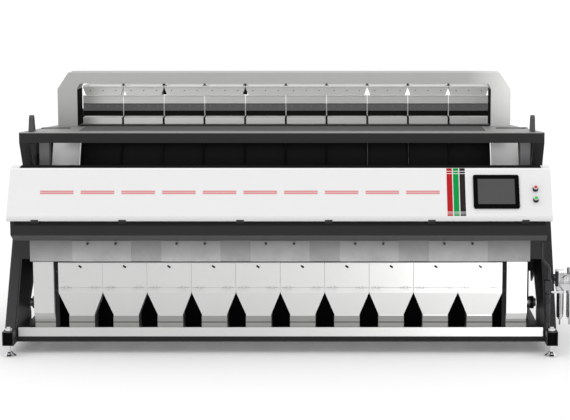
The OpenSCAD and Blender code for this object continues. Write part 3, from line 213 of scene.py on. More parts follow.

# a black grey, the coat darkened as painted shade, that lets the beams behind the outlets sink back
base_coat = finish("powder_coat_black_grey", "#0f0f10", "#161617", PEEL, (0.45, 0.55), PEEL_LIFT,
                   Specular_IOR_Level=0.3)
coat(base_coat, "base_frame")

# %% [markdown]
# ## Light painted steel
# The front hood is powder coated in gloss white, much smoother than the frame, with a thin clear gloss on
# top. The electrical cabinet at the back is light grey, and the feeder drives are enamelled castings.

# %% White, light grey and enamel
# clean white with a soft mirror of the room; its lower lip is darker with painted shade
hood_coat = finish("powder_coat_gloss_white", "#e9e9e9", "#eeeeee", (3, 3, 3), (0.32, 0.38), 0.03,
                   fade=("Z", 985, 1028, "#d0d0d0"), Coat_Weight=0.1, Coat_Roughness=0.12)
coat(hood_coat, "hood")

# a warm light grey with a fine orange peel
cabinet_coat = finish("powder_coat_light_grey", "#cfcfcb", "#d6d6d2", (3, 3, 3), (0.38, 0.46), PEEL_LIFT)
coat(cabinet_coat, "control_cabinet", "cabinet_door")

# a blue grey brush-on enamel, slightly uneven
drive_coat = finish("enamel_blue_grey", "#40505c", "#4a5a66", (5, 5, 5), (0.35, 0.45), 0.1)
coat(drive_coat, "feeder_drives")

# %% [markdown]
# ## Ground stainless sheet
# All that grain touches, and the trim around it, is stainless sheet with a ground finish: fine scratches
# along the sheet's length. Real scratches are under a tenth of a millimetre wide. They are drawn three
# millimetres wide and a quarter of a metre long, as coarse as they need to be to show. Full metal would
# mirror the empty room too darkly, so the paler sheets are only partly metallic.

# %% Hoppers, gantry and feeders
GROUND = (250, 3, 3)
GROUND_ROUGH = (0.38, 0.46)
GROUND_LIFT = 0.05

# bright and even, with a silky gleam: the face of the machine
bright_sheet = finish("stainless_ground_bright", "#cbcbca", "#d3d3d2", GROUND, (0.4, 0.48), GROUND_LIFT,
                      Metallic=0.4)
coat(bright_sheet, "front_skirt", "end_ducts", "discharge_hoppers",
     *[name for name in nodes if name.startswith("door_")])

# a true metal whose highlight is drawn out across the scratches
dull_sheet = finish("stainless_ground_dull", "#b6b6b4", "#c0c0be", GROUND, GROUND_ROUGH, GROUND_LIFT,
                    Metallic=1.0, Anisotropic=0.3)
coat(dull_sheet, "air_reservoir")

# mid grey, growing nearly white towards the right leg with painted light
gantry_sheet = finish("stainless_ground_gantry", "#b4b4b2", "#bebebc", GROUND, GROUND_ROUGH, GROUND_LIFT,
                      fade=("X", 1720, 1400, "#f2f2f0"), Metallic=0.8)
coat(gantry_sheet, "gantry")

# pale fascias that still darken where they mirror the combs
feed_sheet = finish("stainless_ground_feed", "#e6e6e4", "#eeeeec", GROUND, GROUND_ROUGH, GROUND_LIFT,
                    Metallic=0.6)
coat(feed_sheet, "feed_hoppers")

# matt and pale, rubbed dull by the grain
tray_sheet = finish("stainless_matt_tray", "#e4e4e2", "#ececea", GROUND, (0.42, 0.5), GROUND_LIFT,
                    Metallic=0.15)
coat(tray_sheet, "feeder_trays")

# the palest sheet, ground upwards, made paler than the other sheets as painted light
panel_sheet = finish("stainless_panel_light", "#ececeb", "#f4f4f3", (3, 3, 250), (0.4, 0.5), GROUND_LIFT,
                     Metallic=0.3)
coat(panel_sheet, "chute_side_panels")

# %% [markdown]
# ## Mill finish and blasted stainless
# The deck is left as it came from the rolling mill, darker and blurred. The ejector band and its covers are
# bead blasted: a cloudy, pitted grey. Real pits are far below a millimetre; they are drawn at nine so that
# they show as the speckle that the eye sees. Both are darker at the top with painted shade, where the box
# above overhangs them.

# %% Deck, covers and band
PITS = (9, 9, 9)
PIT_ROUGH = (0.45, 0.6)
PIT_LIFT = 0.4
PIT_CLOUDS = 120

# a blurred grey mirror with long faint streaks
deck_sheet = finish("stainless_mill_deck", "#a6a6a5", "#b0b0af", (300, 4, 4), (0.45, 0.55), GROUND_LIFT,
                    Metallic=1.0)
coat(deck_sheet, "top_deck")

# a sparkling mid grey speckle, with painted shade at its top
blasted_sheet = finish("stainless_bead_blasted", "#8e8e8e", "#dadada", PITS, PIT_ROUGH, PIT_LIFT, PIT_CLOUDS,
                       fade=("Z", 840, 690, "#808080"), Metallic=1.0)
coat(blasted_sheet, "access_covers")

# the same speckle a shade darker, so that the covers stand out from the band, with the same painted shade at
# its top
shaded_sheet = finish("stainless_bead_blasted_band", "#808080", "#cacaca", PITS, PIT_ROUGH, PIT_LIFT,
                      PIT_CLOUDS, fade=("Z", 840, 690, "#747474"), Metallic=1.0)
coat(shaded_sheet, "ejector_band")

# %% [markdown]
# ## Aluminium and plated metal
# Chutes are black hard-anodised aluminium, matt and very dark, so that the cameras see only the grain. Feet,
# nuts and rails are plated steel, smooth enough to mirror the room, and the air unit is a chromed casting.

# %% Anodised, machined and plated
# velvet black that shows no more than a soft streak down its length
anodised = finish("anodised_black", "#080808", "#0e0e0e", (3, 3, 120), (0.42, 0.5), 0.04,
                  Specular_IOR_Level=0.15)
coat(anodised, "chutes", "cameras")

# cool silver with short cutter marks
machined = finish("aluminium_machined", "#b0b2b6", "#bcbec2", (60, 2, 2), (0.28, 0.36), 0.05, Metallic=1.0)
coat(machined, "ejector_bar")

# a clear bright mirror
plated = finish("steel_chrome_plated", "#d6d6d8", "#e0e0e2", (20, 20, 20), (0.08, 0.14), 0.02, Metallic=1.0)
coat(plated, "foot_front_left", "foot_front_right", "foot_rear_left", "foot_rear_right", "foot_nuts",
     "wiper_rails", "shutoff_handle")

# a softer mirror, wavy from the casting under it
cast_chrome = finish("zinc_cast_chromed", "#c6c6c8", "#d0d0d2", (12, 12, 12), (0.16, 0.24), 0.06,
                     Metallic=1.0)
coat(cast_chrome, "air_filter", "regulator_knob")

# a smoky dark mirror
dark_plated = finish("steel_black_chrome", "#4a4a4c", "#545456", (20, 20, 20), (0.15, 0.22), 0.02,
                     Metallic=1.0)
coat(dark_plated, "button_bezels")

# %% [markdown]
# ## Plastics and rubber
# Knobs, end caps and wipers are moulded black nylon with a fine eroded texture. The combs that hang in front
# of the feeders are polyurethane, flexible and matt, and the air hose is rubber.

# %% Black plastics and rubber
# black with a slight grey sheen on its edges
moulded = finish("nylon_moulded_black", "#141415", "#1a1a1b", (2, 2, 2), (0.45, 0.55), 0.15)
coat(moulded, "rail_caps", "cover_knobs", "hood_hinges", "wipers")

# flat black, with faint upright marks
comb_black = finish("polyurethane_comb_black", "#0b0b0b", "#111111", (2, 2, 8), (0.5, 0.6), 0.1,
                    Specular_IOR_Level=0.2)
coat(comb_black, "feeder_combs")

# dull black, a little pebbled
hose_rubber = finish("rubber_hose_black", "#111112", "#181819", (1.5, 1.5, 1.5), (0.5, 0.6), 0.2)
coat(hose_rubber, "air_hose")

# %% [markdown]
# ## Screen, buttons and glass
# The screen is off in daylight: a dark grey sheet of glass behind a gloss black frame. The two push
# buttons are glossy coloured plastic. The window glasses and lamps are inside and only show when the hood
# is up.

# %% Screen, buttons and glass
# a deep black edge round the display
bezel_gloss = finish("abs_gloss_black", "#020202", "#040404", (2, 2, 2), (0.28, 0.34), 0.02,
                     Specular_IOR_Level=0.04)
coat(bezel_gloss, "screen_bezel")

# an even dark grey with a faint veil of light
display = finish("display_glass_unlit", "#4c4c4c", "#505050", (1, 1, 1), (0.32, 0.36), 0.01,
                 Specular_IOR_Level=0.2)
coat(display, "screen")

# saturated caps under a clear gloss
CAPS = {"red": ("stop_button", "#d60000", "#e00404"), "green": ("start_button", "#00c81e", "#06d428")}
for colour, (button, dark, light) in CAPS.items():
    cap = finish("acrylic_" + colour, dark, light, (2, 2, 2), (0.25, 0.3), 0.02,
                 Coat_Weight=0.5, Coat_Roughness=0.1)
    coat(cap, button)

# nearly invisible, with a green cast at its edges
window_glass = finish("float_glass_clear", "#dcecec", "#e4f2f2", (40, 40, 40), (0.02, 0.05), 0.01,
                      Transmission_Weight=0.9, IOR=1.5)
coat(window_glass, "window_glasses")

# milky white tubes
lamp_glass = finish("glass_frosted_lamp", "#eeeee6", "#f6f6f0", (4, 4, 4), (0.4, 0.5), 0.05)
coat(lamp_glass, "lamps")

# %% [markdown]
# ## The hood's face
# Films and lines lie on the slanted face of the hood, so their place is worked out from the hood's own
# mesh: the largest flat area that looks forward is the face, its lowest and highest points give its slope.
# A matrix then carries flat drawings, x along the machine and y up the slope, onto that face.

# %% Find the face
LOOKS_FORWARD = -0.2
facets = {}
for polygon in nodes["hood"].data.polygons:
    if polygon.normal.y < LOOKS_FORWARD:
        key = tuple(round(c, 2) for c in polygon.normal)
        facets.setdefault(key, []).append(polygon)
face = max(facets.values(), key=lambda group: sum(polygon.area for polygon in group))
face_points = [nodes["hood"].data.vertices[i].co for polygon in face for i in polygon.vertices]
foot = min(face_points, key=lambda point: point.z)
peak = max(face_points, key=lambda point: point.z)
face_up = Vector((0, peak.y - foot.y, peak.z - foot.z)).normalized()
face_out = Vector((0, -face_up.z, face_up.y))
face_height = (Vector((0, peak.y, peak.z)) - Vector((0, foot.y, foot.z))).length
face_frame = Matrix((
    (1, face_up.x, face_out.x, 0),
    (0, face_up.y, face_out.y, foot.y),
    (0, face_up.z, face_out.z, foot.z),
    (0, 0, 0, 1)))
print("hood face", round(face_height, 3), "m high, leaning", round(math.degrees(math.asin(face_up.y)), 1))

# %% [markdown]
# ## Modelling helpers
# Each new piece starts as a primitive at its size and place, is shaped in edit mode, and ends with its
# place applied to its mesh, so its object sits at the origin like the construction's own pieces. Pieces
# that repeat are modelled once and copied, each copy with its own mesh, then joined into one set.


# %% Helpers for pieces
def start(name):
    piece = bpy.context.object
    piece.name = name
    piece.data.name = name
    return piece


def select_faces(piece, test):
    bpy.ops.mesh.select_mode(type="FACE")
    bpy.ops.mesh.select_all(action="DESELECT")
    bpy.ops.object.mode_set(mode="OBJECT")
    for polygon in piece.data.polygons:
        polygon.select = test(polygon)
    bpy.ops.object.mode_set(mode="EDIT")


def join(pieces, name):
    bpy.ops.object.select_all(action="DESELECT")
    for piece in pieces:
        piece.select_set(True)
    bpy.context.view_layer.objects.active = pieces[0]
    if len(pieces) > 1:
        bpy.ops.object.join()
    return start(name)


def dress(piece, material, body):
    piece.data.materials.clear()
    piece.data.materials.append(material)
    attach(piece, body)
    print(piece.name, len(piece.data.polygons), "faces, rides on", body)


def copies(source, places):
    """Copies of a piece, one for each matrix in places, each with its own mesh; the source is deleted."""
    made = []
    for place in places:
        mesh = source.data.copy()
        mesh.transform(place)
        copy = bpy.data.objects.new(source.name, mesh)
        bpy.context.scene.collection.objects.link(copy)
        made.append(copy)
    bpy.data.objects.remove(source)
    return made


# %% [markdown]
# ## Films on the hood
# Three upright coloured bands stand left of the screen, each broken by thin gaps near its ends, and a row
# of paired thin lines runs along the hood. They are cut vinyl films, a fraction of a millimetre thick.
# A narrow whiter film along the hood's upper edge is a painted highlight. They could be painted in the hood's
# material, but as separate films they have an edge that takes light. Their places are in metres along and up
# the face.


# %% A film
def film(name, x0, x1, up0, up1, thick=0.4 * MM):
    """A thin film on the hood's face, with its front edges rounded over."""
    bpy.ops.object.select_all(action="DESELECT")
    bpy.ops.mesh.primitive_plane_add(size=1, location=((x0 + x1) / 2, (up0 + up1) / 2, 0))
    piece = start(name)
    piece.scale = (x1 - x0, up1 - up0, 1)
    bpy.ops.object.transform_apply(location=True, rotation=True, scale=True)
    bpy.ops.object.mode_set(mode="EDIT")
    bpy.ops.mesh.select_all(action="SELECT")
    bpy.ops.mesh.extrude_region_move(TRANSFORM_OT_translate={"value": (0, 0, thick)})
    bpy.ops.mesh.inset(thickness=thick / 2, depth=thick / 4)
    bpy.ops.mesh.select_all(action="SELECT")
    bpy.ops.mesh.normals_make_consistent(inside=False)
    bpy.ops.object.mode_set(mode="OBJECT")
    piece.data.transform(face_frame)
    return piece


def vinyl(colour, dark, light, gloss):
    """An even, saturated film with a soft sheen."""
    return finish("vinyl_film_" + colour, dark, light, (2, 2, 2), (0.38, 0.44), 0.02,
                  Specular_IOR_Level=gloss)


# %% Band films
FILM_GLOSS = 0.1
BAND_WIDTH = 40 * MM
BAND_STEP = 46.2 * MM
BAND_FIRST_X = 1.196
BAND_LENGTHS = [(0.001, 0.015), (0.019, 0.029), (0.034, 0.336), (0.341, 0.355), (0.360, 0.381)]
BAND_COLOURS = {
    "red": ("#b4181c", "#ba1e22"),
    "green": ("#009443", "#049a48"),
    "brown": ("#261d1d", "#2b2222"),
}
for k, (colour, tints) in enumerate(BAND_COLOURS.items()):
    x0 = BAND_FIRST_X + k * BAND_STEP
    parts = [film("band", x0, x0 + BAND_WIDTH, low, high) for low, high in BAND_LENGTHS]
    dress(join(parts, "band_film_" + colour), vinyl(colour, *tints, FILM_GLOSS), "hood")

# %% Line and edge films
LINE_GROUPS = 10
LINE_FIRST_X = -1.7166
LINE_PITCH = 0.2912
LINE_LENGTH = 0.24
LINE_UPS = (0.1735, 0.189)
LINE_WIDTH = 13 * MM
line_starts = [LINE_FIRST_X + k * LINE_PITCH for k in range(LINE_GROUPS)]
lines = [film("line", x0, x0 + LINE_LENGTH, up, up + LINE_WIDTH) for x0 in line_starts for up in LINE_UPS]
dress(join(lines, "line_films"), vinyl("pale_red", "#de9496", "#e29a9c", FILM_GLOSS), "hood")

EDGE_WIDTH = 12 * MM
EDGE_INSET = 0.5 * MM
EDGE_THICK = 0.2 * MM
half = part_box("hood")[1].x
# a painted highlight: a whiter film along the hood's upper edge
edge = film("edge_highlight_film", -half, half, face_height - EDGE_WIDTH, face_height - EDGE_INSET, EDGE_THICK)
dress(edge, vinyl("white", "#f6f6f6", "#fafafa", 0.3), "hood")

# %% [markdown]
# ## Helpers for fittings
# The rest of the small pieces are of two kinds. A plate is a cube stretched to size with its edges rounded
# over, as every real sheet edge is. A turned piece starts as a disc whose face is extruded and scaled step
# by step, as on a lathe. Places are in millimetres: across from the middle of the bank, back from the front
# ends of the foot rails, and up from the floor.


# %% Places and plates
def at(x, y, z):
    return Vector((x * MM, y * MM + rail_front, z * MM))


def span(middle, half_width):
    return middle - half_width, middle + half_width


def both_sides(near, far):
    """The same span left and right of the middle of the bank."""
    return (-far, -near), (near, far)


def plate(name, across, back, up, edge=1):
    """A plate between the ends of three spans, with its edges rounded over."""
    low, high = (at(*corner) for corner in zip(across, back, up))
    bpy.ops.object.select_all(action="DESELECT")
    bpy.ops.mesh.primitive_cube_add(size=1, location=(low + high) / 2)
    piece = start(name)
    piece.scale = high - low
    bpy.ops.object.transform_apply(location=True, rotation=True, scale=True)
    bpy.ops.object.mode_set(mode="EDIT")
    bpy.ops.mesh.select_all(action="SELECT")
    bpy.ops.mesh.bevel(offset=edge * MM, segments=2, affect="EDGES")
    bpy.ops.object.mode_set(mode="OBJECT")
    return piece


LEVEL = 0.9


def draw_in(piece, rise, share, tip):
    """Extrude the top of a plate upwards and draw it in across, as a gable."""
    bpy.ops.object.mode_set(mode="EDIT")
    select_faces(piece, lambda polygon: polygon.normal.z > LEVEL)
    bpy.ops.mesh.extrude_region_move(TRANSFORM_OT_translate={"value": (0, 0, rise * MM)})
    bpy.ops.transform.resize(value=(share, 1, 1), center_override=tip)
    bpy.ops.object.mode_set(mode="OBJECT")


def along(piece, places_x):
    """Copies of a piece side by side along the bank."""
    return copies(piece, [Matrix.Translation((x * MM, 0, 0)) for x in places_x])


# %% Turned pieces
MERGE = 0.01 * MM
TURNED_SMOOTH, PIPE_SMOOTH = math.radians(35), math.radians(40)


def close_up(smooth):
    """Merge doubles, turn all faces outwards, leave edit mode and smooth what bends less than this."""
    bpy.ops.mesh.select_all(action="SELECT")
    bpy.ops.mesh.remove_doubles(threshold=MERGE)
    bpy.ops.mesh.normals_make_consistent(inside=False)
    bpy.ops.object.mode_set(mode="OBJECT")
    bpy.ops.object.shade_smooth_by_angle(angle=smooth)


def turned(name, steps, sides=24):
    """A piece about +Z, through its (radius, height) steps; a ring, where it ends at its first step."""
    bpy.ops.object.select_all(action="DESELECT")
    radius, height = steps[0]
    fill = "NOTHING" if steps[0] == steps[-1] else "NGON"
    bpy.ops.mesh.primitive_circle_add(vertices=sides, radius=radius * MM, fill_type=fill)
    piece = start(name)
    bpy.ops.object.mode_set(mode="EDIT")
    bpy.ops.mesh.select_mode(type="VERT")
    bpy.ops.mesh.select_all(action="SELECT")
    for next_radius, next_height in steps[1:]:
        rise = (0, 0, (next_height - height) * MM)
        bpy.ops.mesh.extrude_region_move(TRANSFORM_OT_translate={"value": rise})
        grow = next_radius / radius
        bpy.ops.transform.resize(value=(grow, grow, 1), center_override=(0, 0, 0))
        radius, height = next_radius, next_height
    close_up(TURNED_SMOOTH)
    return piece


def facing(place, way):
    """The matrix that stands a turned piece at a place, with its axis along way."""
    return Matrix.Translation(place) @ Vector(way).to_track_quat("Z", "Y").to_matrix().to_4x4()


# %% Screws, and where things repeat
FORWARD = (0, -1, 0)
UP = (0, 0, 1)
SIDES = (-1, 1)
HOME = Matrix.Translation(-at(0, 0, 0))
CHUTE_COUNT = 10
CHUTE_PITCH = 320
CHUTE_X = [(k - (CHUTE_COUNT - 1) / 2) * CHUTE_PITCH for k in range(CHUTE_COUNT)]
JOINT_X = [x + CHUTE_PITCH / 2 for x in CHUTE_X[:-1]]
BANK_HALF = CHUTE_COUNT * CHUTE_PITCH / 2
SCREW_STEPS = [(1, 0), (1, 0.5), (0.8, 0.8), (0.45, 0.8), (0.45, 0.5)]


def screws(name, radius, places, way):
    """Round socket heads, all the same size and way round."""
    head = turned(name, [(r * radius, h * radius) for r, h in SCREW_STEPS], sides=12)
    return join(copies(head, [facing(place, way) for place in places]), name)


print("chutes at", CHUTE_X)

# %% [markdown]
# ## Rings round the buttons
# Each push button sits in a dark sleeve whose front edge is a narrow chromed ring. The ring is turned through
# a section that ends where it began. The sleeve's own mesh says how far it stands off the hood's face.

# %% Button rings
RING_STEPS = [(12.5, 0), (17, 0), (17, 1.5), (15, 2.5), (12.5, 2.5), (12.5, 0)]
RING_GAP = 0.1 * MM
to_face = face_frame.inverted()
sleeve_top = max((to_face @ v.co).z for v in nodes["button_bezels"].data.vertices)
ring_places = []
for name in ("stop_button", "start_button"):
    low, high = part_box(name)
    middle = to_face @ ((low + high) / 2)
    ring_places.append(face_frame @ Matrix.Translation((middle.x, middle.y, sleeve_top + RING_GAP)))
rings = copies(turned("button_ring", RING_STEPS), ring_places)
dress(join(rings, "button_rings"), plated, "hood")

# %% [markdown]
# ## Comb clamps and screws
# A grey strip clamps the top of each black comb, held by four bright screws, and three small dark screws
# hold the front of each feed hopper. A bevelled plate and one turned screw head, copied along the bank, are
# all that these need.

# %% Comb clamps and screws
TRIM_ACROSS = span(0, 157)
CLAMP_FRONT, CLAMP_BACK = 1491.8, 1493.9
COMB_SCREW_UP, HOPPER_SCREW_UP = 1690, 1812
HOPPER_FRONT = 1500

# a soft mid grey without a mirror
clamp_steel = finish("steel_blackened_satin", "#828283", "#8a8a8b", (20, 2, 2), (0.5, 0.6), 0.05,
                     Specular_IOR_Level=0.3)
strip = plate("comb_clamp", TRIM_ACROSS, (CLAMP_FRONT, CLAMP_BACK), (1654, 1706), 0.6)
dress(join(along(strip, CHUTE_X), "comb_clamps"), clamp_steel, "machine")

places = [at(x + dx, CLAMP_FRONT, COMB_SCREW_UP) for x in CHUTE_X for dx in (-114, -38, 38, 114)]
dress(screws("comb_screws", 3.5, places, FORWARD), dull_sheet, "machine")
places = [at(x + dx, HOPPER_FRONT, HOPPER_SCREW_UP) for x in CHUTE_X for dx in (-100, 0, 100)]
dress(screws("hopper_screws", 4, places, FORWARD), moulded, "machine")

# %% [markdown]
# ## Comb curtains, beads and dividers
# Behind each comb hangs a sheet of black rubber. The edges of the hopper fronts are rolled into beads, and a
# divider stands between neighbouring combs; both are near white, a painted highlight on polished steel. The
# beads are plates whose edges are rounded nearly to half their thickness, which is lighter than a swept tube
# and looks the same.

# %% Curtains, beads and dividers
# the blackest surface of the machine, without a highlight
curtain_rubber = finish("rubber_sheet_matt_black", "#050505", "#090909", (2, 2, 2), (0.7, 0.8), 0.05,
                        Specular_IOR_Level=0.06)
curtain = plate("comb_curtain", span(0, 152), (1497.2, 1498.6), (1612, 1698), 0.4)
dress(join(along(curtain, CHUTE_X), "comb_curtains"), curtain_rubber, "machine")

# painted highlight: thin white lines along the rims and between the combs
bead_steel = finish("stainless_polished_painted_highlight", "#f4f4f3", "#fafaf9", (120, 3, 3), (0.2, 0.3), 0.02, Metallic=0.2)
beads = [plate("bead", TRIM_ACROSS, (1490, 1496.9), (1766, 1775), 3),
         plate("bead", TRIM_ACROSS, (1494, 1499.9), (1835, 1842), 2.5)]
dress(join(along(join(beads, "bead"), CHUTE_X), "hopper_beads"), bead_steel, "machine")

divider = plate("comb_divider", span(0, 3), (1491.5, 1498), (1614, 1712), 0.5)
dress(join(along(divider, JOINT_X), "comb_dividers"), bead_steel, "machine")

# %% [markdown]
# ## Gaps between the feed hoppers
# Hoppers taper, so a gap stays open between two of them. Some gaps get a dark plate further back as painted
# shade, and some a pale wedge in front as painted light, and a clamp with a dark knob ties every two
# neighbouring rims together. The wedge is a low plate whose top is extruded upwards and drawn in.

# %% Gap plates and rim clamps
DARK_GAPS, LIGHT_GAPS = (-960, -320), (-640, 0, 320)
WEDGE_BACK = (1504, 1506)
WEDGE_FOOT = (1772, 1774)
WEDGE_RISE = 72
WEDGE_TIP = 0.12
RIM_KNOB_STEPS = [(4, 0), (4, 3), (9, 3), (10, 6), (10, 12), (8, 14)]

# painted shade: dark plates in some gaps
dark_plate = plate("gap_plate", (-26, 8), (1640, 1642), (1770, 1849), 0.5)
dress(join(along(dark_plate, DARK_GAPS), "gap_plates_dark"), moulded, "machine")
# painted light: pale wedges in other gaps
wedge = plate("gap_plate", span(0, 26), WEDGE_BACK, WEDGE_FOOT, 0.4)
draw_in(wedge, WEDGE_RISE, WEDGE_TIP, at(0, sum(WEDGE_BACK) / 2, WEDGE_FOOT[1] + WEDGE_RISE))
dress(join(along(wedge, LIGHT_GAPS), "gap_plates_light"), feed_sheet, "machine")

bridge = plate("rim_clamp", span(0, 16), (1501, 1521), (1850.1, 1853), 0.8)
knob = turned("rim_knob", RIM_KNOB_STEPS, sides=16)
knob.data.transform(Matrix.Translation(at(0, 1511, 1853)))
clamps = along(join([bridge, knob], "rim_clamp"), JOINT_X)
dress(join(clamps, "rim_clamps"), moulded, "machine")

# %% [markdown]
# ## Deck and gantry trim
# A dark cover sheet lies on the deck in front of the feeders. The inner faces of the gantry's legs are
# lined black, and a thin conduit runs over the deck from a gland beside each lifting lug to the gantry.

# %% Deck cover, gantry linings and conduits
DECK_TOP = 1572.1
CONDUIT_BACK = 850
GLAND_STEPS = [(14, 0), (14, 3), (11, 3), (11, 5), (8, 7)]

# a quiet mid grey that keeps the deck from glaring
cover_sheet = finish("steel_coated_mid_grey", "#5c5c5d", "#626263", (6, 6, 6), (0.7, 0.8), 0.05,
                     Specular_IOR_Level=0.1)
cover = plate("deck_cover", span(0, 1510), (658, 1036), (DECK_TOP, 1574), 0.6)
dress(cover, cover_sheet, "machine")

linings = [plate("gantry_lining", across, (1070, 1325), (1573, 1850), 0.5)
           for across in both_sides(1578, 1579.8)]
dress(join(linings, "gantry_linings"), curtain_rubber, "machine")

gland_places = [facing(at(side * 1812, CONDUIT_BACK, DECK_TOP), UP) for side in SIDES]
glands = copies(turned("gland", GLAND_STEPS, sides=6), gland_places)
runs = [plate("conduit", across, span(CONDUIT_BACK, 3), (1573, 1579), 2) for across in both_sides(1602, 1802)]
dress(join(glands + runs, "deck_conduits"), moulded, "machine")

# %% [markdown]
# ## Outlet sleeves
# Each discharge spout and each end duct ends in a thinner, duller sleeve that slips over it and is held by a
# dark rubber band, where a bag or a conveyor's funnel is tied on. A sleeve is a plate whose top and bottom
# are deleted, with a wall from the Solidify modifier.

# %% A sleeve
SLEEVE_WALL = 2
SLEEVE_EDGE = 3
SLOPING = 0.5


def sleeve(name, across, back, up):
    piece = plate(name, across, back, up, SLEEVE_EDGE)
    bpy.ops.object.mode_set(mode="EDIT")
    select_faces(piece, lambda polygon: abs(polygon.normal.z) > SLOPING)
    bpy.ops.mesh.delete(type="FACE")
    bpy.ops.object.mode_set(mode="OBJECT")
    shell = piece.modifiers.new("wall", "SOLIDIFY")
    shell.thickness = SLEEVE_WALL * MM
    shell.offset = -1
    bpy.ops.object.modifier_apply(modifier="wall")
    return piece


# %% Sleeves and bands
BAND_UP = (226, 234)
SLEEVE_FOOT = 152
DUCT_ENDS = both_sides(1629.5, 1779.5)

# duller than the spout and darker with painted shade, so the joint between the two shows
sleeve_sheet = finish("stainless_sleeve_matt", "#9a9a98", "#a4a4a2", GROUND, (0.45, 0.52), GROUND_LIFT,
                      Metallic=1.0)
# a flat dark stripe
rubber_band = finish("rubber_band_black", "#2a2a2b", "#323233", (2, 2, 2), (0.6, 0.7), 0.1)
sock = sleeve("outlet_sleeve", span(0, 93), (142, 333), (SLEEVE_FOOT, 276))
tie = sleeve("outlet_band", span(0, 95), (140, 335), BAND_UP)
dress(join(along(sock, CHUTE_X), "outlet_sleeves"), sleeve_sheet, "machine")
dress(join(along(tie, CHUTE_X), "outlet_bands"), rubber_band, "machine")
ducts = [sleeve("duct_sleeve", across, (142.5, 332.5), (SLEEVE_FOOT, 288)) for across in DUCT_ENDS]
dress(join(ducts, "duct_sleeves"), sleeve_sheet, "machine")
bands = [sleeve("duct_band", (low - SLEEVE_WALL, high + SLEEVE_WALL), (140.5, 334.5), BAND_UP)
         for low, high in DUCT_ENDS]
dress(join(bands, "duct_bands"), rubber_band, "machine")

# %% [markdown]
# ## Painted shade between the outlets, and joints of the bank
# Matt black plates stand in the gaps between the outlets as painted shade and hide the air tube; their peak
# is a plate's top, drawn in to a gable. Bright strips cover the joints between neighbouring hoppers and the
# sill under each door, and the ends of each door's hinge show as small grey marks that ride on that door.

# %% Painted shade between the outlets, joint strips and hinge ends
OUTLET_SHADE_BACK = (335.5, 338.5)
OUTLET_SHADE_TOP = 284
OUTLET_SHADE_RISE = 158
OUTLET_SHADE_TIP = 0.03
# black gables in the gaps between the outlets: painted shade in the recess behind them
shade_gable = plate("outlet_shade", span(0, 66), OUTLET_SHADE_BACK, (150, OUTLET_SHADE_TOP), 0.5)
draw_in(shade_gable, OUTLET_SHADE_RISE, OUTLET_SHADE_TIP, at(0, sum(OUTLET_SHADE_BACK) / 2, OUTLET_SHADE_TOP + OUTLET_SHADE_RISE))
shade_gables = along(shade_gable, [-BANK_HALF] + JOINT_X + [BANK_HALF])
dress(join(shade_gables, "outlet_shades"), curtain_rubber, "machine")

seam = plate("hopper_joint", span(0, 1.7), (98, 102), (458, 674), 0.5)
dress(join(along(seam, JOINT_X), "hopper_joints"), bright_sheet, "machine")
sills = [plate("door_sill", across, (97.5, 99.8), (490.6, 493.4), 0.3)
         for across in ((-156, -137), (-67, 67), (137, 156))]
sills = along(join(sills, "door_sill"), CHUTE_X)
dress(join(sills, "door_sills"), bright_sheet, "machine")

ends = [plate("hinge_end", span(dx, 1.2), (86.2, 87.4), (490, 500), 0.3) for dx in (-114, -90, 90, 114)]
for k, leaf in enumerate(along(join(ends, "hinge_end"), CHUTE_X), start=1):
    dress(join([leaf], f"hinge_ends_{k}"), clamp_steel, f"door_{k}")

# %% [markdown]
# ## Chute joints, and painted shade at the hood and the rails
# Black profiles fill the joints between the chutes, which lean back by 30 degrees from upright. A black strip
# along the box under the hood's lip is a painted shadow, another along the hood's top flange is painted
# shade, and a black plate in the front end of each foot rail is painted shade for its dark inside. A leaning
# piece is drawn flat about zero first and then turned and carried to its place.

# %% Chute joints, and painted shade strips at the hood and the rails
CHUTE_LEAN = math.radians(30)
CHUTE_HEAD = (0, 1455, 1550)
FLANGE_RISE = math.atan2(9, 96)
FLANGE_FRONT = (0, 215, 1345.5)
RAIL_X = 1956

profile = plate("chute_joint", span(0, 1.7), (0, 5), (-880, -4), 0.4)
profile.data.transform(Matrix.Translation(at(*CHUTE_HEAD)) @ Matrix.Rotation(-CHUTE_LEAN, 4, "X") @ HOME)
dress(join(along(profile, JOINT_X), "chute_joints"), curtain_rubber, "machine")

# painted shadow: a black strip on the box under the hood's lip; painted shade: one on the hood's top flange
dress(plate("hood_lip_shadow", span(0, 1900), (38.2, 39.9), (952, 977), 0.5), comb_black, "machine")
top_shade = plate("hood_top_shade", span(0, 1880), (0, 90), (0, 2), 0.6)
top_shade.data.transform(Matrix.Translation(at(*FLANGE_FRONT)) @ Matrix.Rotation(FLANGE_RISE, 4, "X") @ HOME)
dress(top_shade, curtain_rubber, "hood")
# painted shade: black plates in the rail ends for the dark inside of the tubes
end_shades = [plate("rail_end_shade", span(side * RAIL_X, 34), (8, 14), (89, 177), 2) for side in SIDES]
dress(join(end_shades, "rail_end_shades"), curtain_rubber, "machine")

# %% [markdown]
# ## Keepers, and plates of painted light and shade
# A dark keeper sits in front of each latch of the hood; the latches' own mesh says where they start and end.
# A thin dark edge closes the ejector band below, grey plates on the posts beside the chutes are painted
# light, and dark plates at the ends of the space behind the band are painted shade.

# %% Latch keepers, band edge, painted light on the posts and painted shade at the band's ends
latch_x = sorted({round(v.co.x / MM, 1) for v in nodes["hood_latches"].data.vertices})
keepers = [plate("latch_keeper", across, (-1, 1.7), (986, 998), 0.8)
           for across in zip(latch_x[::2], latch_x[1::2])]
dress(join(keepers, "latch_keepers"), moulded, "hood")
dress(plate("band_edge", span(0, 1797), (88.2, 90.9), (681, 683.8), 0.4), moulded, "machine")
# painted light: grey plates on the shaded posts beside the chutes
lit_plates = [plate("post_lit_plate", across, (1177.6, 1179.9), (1010, 1478), 0.5)
          for across in both_sides(1821, 1899)]
dress(join(lit_plates, "post_lit_plates"), clamp_steel, "machine")
